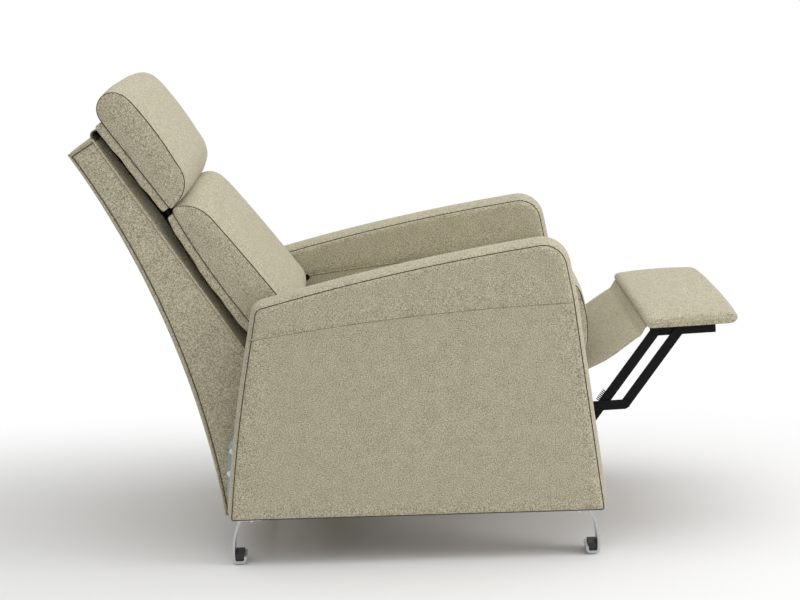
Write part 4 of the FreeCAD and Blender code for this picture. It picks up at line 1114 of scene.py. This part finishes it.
def wingLining(side, sign):
    # cloth stretched from the wing's front edge inwards to close behind the boards: it follows
    # the bow of the back board and the lean of the head board
    shape = liningShape
    rows, columns = shape["points"]
    up = np.linspace(shape["low"], shape["high"], rows)[:, None]
    share = np.linspace(0.0, 1.0, columns)[None, :]
    tall, deep = backShape["size"]
    along = np.clip(up / tall, 0.0, None)
    bowed = backShape["steps"][1][0][1] * deep * 4 * along * (1.0 - along)
    leaning = -shape["headLean"] * (up - tall)
    behind = np.where(along < 1.0, bowed, leaning) - shape["behind"]
    depth, wide = shape["edge"]
    out = depth + (behind - depth) * share
    slack = shape["slack"] * np.sin(shape["slackTurns"] * up) * share
    y = wide + (shape["inner"] - wide) * share ** shape["easing"] + slack
    place = placer(backShape["corner"], *backShape["directions"])
    line = up + 1j * out
    grid = place(line.ravel(), sign * y.ravel()).reshape(*line.shape, 3)
    piece, flat = clothPiece("wingLining" + side.capitalize(), grid, shape["thickness"], flapCloth)
    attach(piece, "backrest")


for side, sign in bothSides:
    wingLining(side, sign)

# Low and high are x and z of the spring's ends, place is its y
springShape = {
    "low": (0.3835, 0.2870),
    "high": (0.3965, 0.3042),
    "place": 0.2475,
    "radius": 0.0062,
    "wire": 0.0011,
    "turns": 6,
    "turnPoints": 14,
}


def liftSpring(side, sign):
    # a helix of wire round the line between its ends
    shape = springShape
    start, end = complex(*shape["low"]), complex(*shape["high"])
    way = (end - start) / abs(end - start)
    angle = np.linspace(0.0, fullTurn * shape["turns"], shape["turns"] * shape["turnPoints"])
    along = start + (end - start) * np.linspace(0.0, 1.0, len(angle))
    spot = along + 1j * way * shape["radius"] * np.cos(angle)
    y = sign * (shape["place"] + shape["radius"] * np.sin(angle))
    helix = np.column_stack((spot.real, y, spot.imag))
    name = "liftSpring" + side.capitalize()
    line = tubes(name, [helix], shape["wire"], finishes["black_steel"], closed=False)
    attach(line, "long_link")


for side, sign in bothSides:
    liftSpring(side, sign)
print("sheets, trimmings and springs are made")

# Floor, light and camera. Middle and stretch say where the shadow lies, fade where it ends
floorLook = {
    "size": 120.0,
    "shader": {"Base Color": (0.88, 0.88, 0.88, 1.0), "Roughness": 0.8, "Specular IOR Level": 0.1},
    "middle": (0.1, 0.12, 0.0),
    "stretch": (0.5, 1.0, 1.0),
    "fade": (0.45, 1.15),
}


def backgroundRays(wiring):
    # one for rays that look straight, in a mirror or through glass, nothing for the others
    rays = wiring.add("ShaderNodeLightPath").outputs
    seen = wiring.math("ADD", rays["Is Camera Ray"], rays["Is Glossy Ray"])
    return wiring.math("MINIMUM", wiring.math("ADD", seen, rays["Is Transmission Ray"]), 1.0)


def floor():
    # pale paint round the chair, where its shadow lies, and plain white further out
    look = floorLook
    corners = [(-0.5, -0.5, 0.0), (0.5, -0.5, 0.0), (0.5, 0.5, 0.0), (-0.5, 0.5, 0.0)]
    points = np.array(corners) * look["size"]
    made, wiring, inputs = material("floor paint", look["shader"])
    values = {"Location": look["middle"], "Scale": look["stretch"]}
    mapped = wiring.fed("ShaderNodeMapping", wiring.coordinates(), values)[0]
    away = wiring.add("ShaderNodeVectorMath", operation="LENGTH")
    wiring.join(mapped, away.inputs[0])
    near, far = look["fade"]
    values = {"From Min": near, "From Max": far}
    fade = wiring.add("ShaderNodeMapRange", values, interpolation_type="SMOOTHSTEP")
    wiring.join(away.outputs["Value"], fade.inputs["Value"])
    white = wiring.add("ShaderNodeEmission", {"Strength": 1.0})
    mixed = wiring.add("ShaderNodeMixShader")
    wiring.join(wiring.math("MULTIPLY", fade.outputs[0], backgroundRays(wiring)), mixed.inputs[0])
    wiring.join(made.node_tree.nodes["Principled BSDF"].outputs[0], mixed.inputs[1])
    wiring.join(white.outputs[0], mixed.inputs[2])
    wiring.join(mixed.outputs[0], made.node_tree.nodes["Material Output"].inputs["Surface"])
    piece = newPiece("studioFloor", points, [[0, 1, 2, 3]], made, smooth=False)


skyStrength = 0.65
# each lamp: its place, the point it looks at, its width and height, its power
lamps = {
    "topLight": ((0.3, -0.3, 3.2), (0.0, 0.0, 0.3), (3.0, 2.4), 36.0),
    "rightLight": ((3.0, -1.0, 1.9), (0.0, 0.0, 0.5), (1.6, 1.6), 36.0),
}


def areaLight(name, spot, target, size, power):
    lamp = bpy.data.lights.new(name, "AREA")
    lamp.shape = "RECTANGLE"
    lamp.size, lamp.size_y = size
    lamp.energy = power
    holder = bpy.data.objects.new(name, lamp)
    bpy.context.scene.collection.objects.link(holder)
    away = np.array(spot) - np.array(target)
    away /= np.linalg.norm(away)
    side = np.cross((0.0, 1.0, 0.0), away)
    side /= np.linalg.norm(side)
    above = np.cross(away, side)
    turn = Matrix(np.column_stack((side, above, away)).tolist()).to_4x4()
    holder.matrix_world = Matrix.Translation(spot) @ turn


def studio():
    # a white world, dimmer as a light than as a background, and the lamps
    scene = bpy.context.scene
    world = bpy.data.worlds.new("studio")
    scene.world = world
    world.use_nodes = True
    wiring = Wiring(world.node_tree)
    sky = world.node_tree.nodes["Background"]
    strength = wiring.add("ShaderNodeMapRange", {"To Min": skyStrength})
    wiring.join(backgroundRays(wiring), strength.inputs["Value"])
    sky.inputs["Color"].default_value = (1.0, 1.0, 1.0, 1.0)
    wiring.join(strength.outputs[0], sky.inputs["Strength"])
    for name, values in lamps.items():
        areaLight(name, *values)
    scene.view_settings.view_transform = "Standard"


# The photograph's own viewing point: pitch down, yaw and roll in degrees, lens in millimetres
viewPoint = {
    "place": (-0.03455, -4.25477, 1.23043),
    "turns": (10.3076, 0.3915, 1.6272),
    "lens": 92.925,
    "sensor": 36.0,
    "reach": 200.0,
}


def camera():
    # axes of the camera, first from pitch and yaw, then turned by the roll
    pitch, yaw, roll = (math.radians(turn) for turn in viewPoint["turns"])
    ahead = np.array((math.sin(yaw) * math.cos(pitch), math.cos(yaw) * math.cos(pitch), -math.sin(pitch)))
    right = np.array((math.cos(yaw), -math.sin(yaw), 0.0))
    down = np.cross(ahead, right)
    across = math.cos(roll) * right + math.sin(roll) * down
    below = -math.sin(roll) * right + math.cos(roll) * down
    lens = bpy.data.cameras.new("photoCamera")
    lens.lens = viewPoint["lens"]
    lens.sensor_width = viewPoint["sensor"]
    lens.clip_end = viewPoint["reach"]
    holder = bpy.data.objects.new("photoCamera", lens)
    bpy.context.scene.collection.objects.link(holder)
    turn = Matrix(np.column_stack((across, -below, -ahead)).tolist()).to_4x4()
    holder.matrix_world = Matrix.Translation(viewPoint["place"]) @ turn
    bpy.context.scene.camera = holder


floor()
studio()
camera()
print("studio is set")
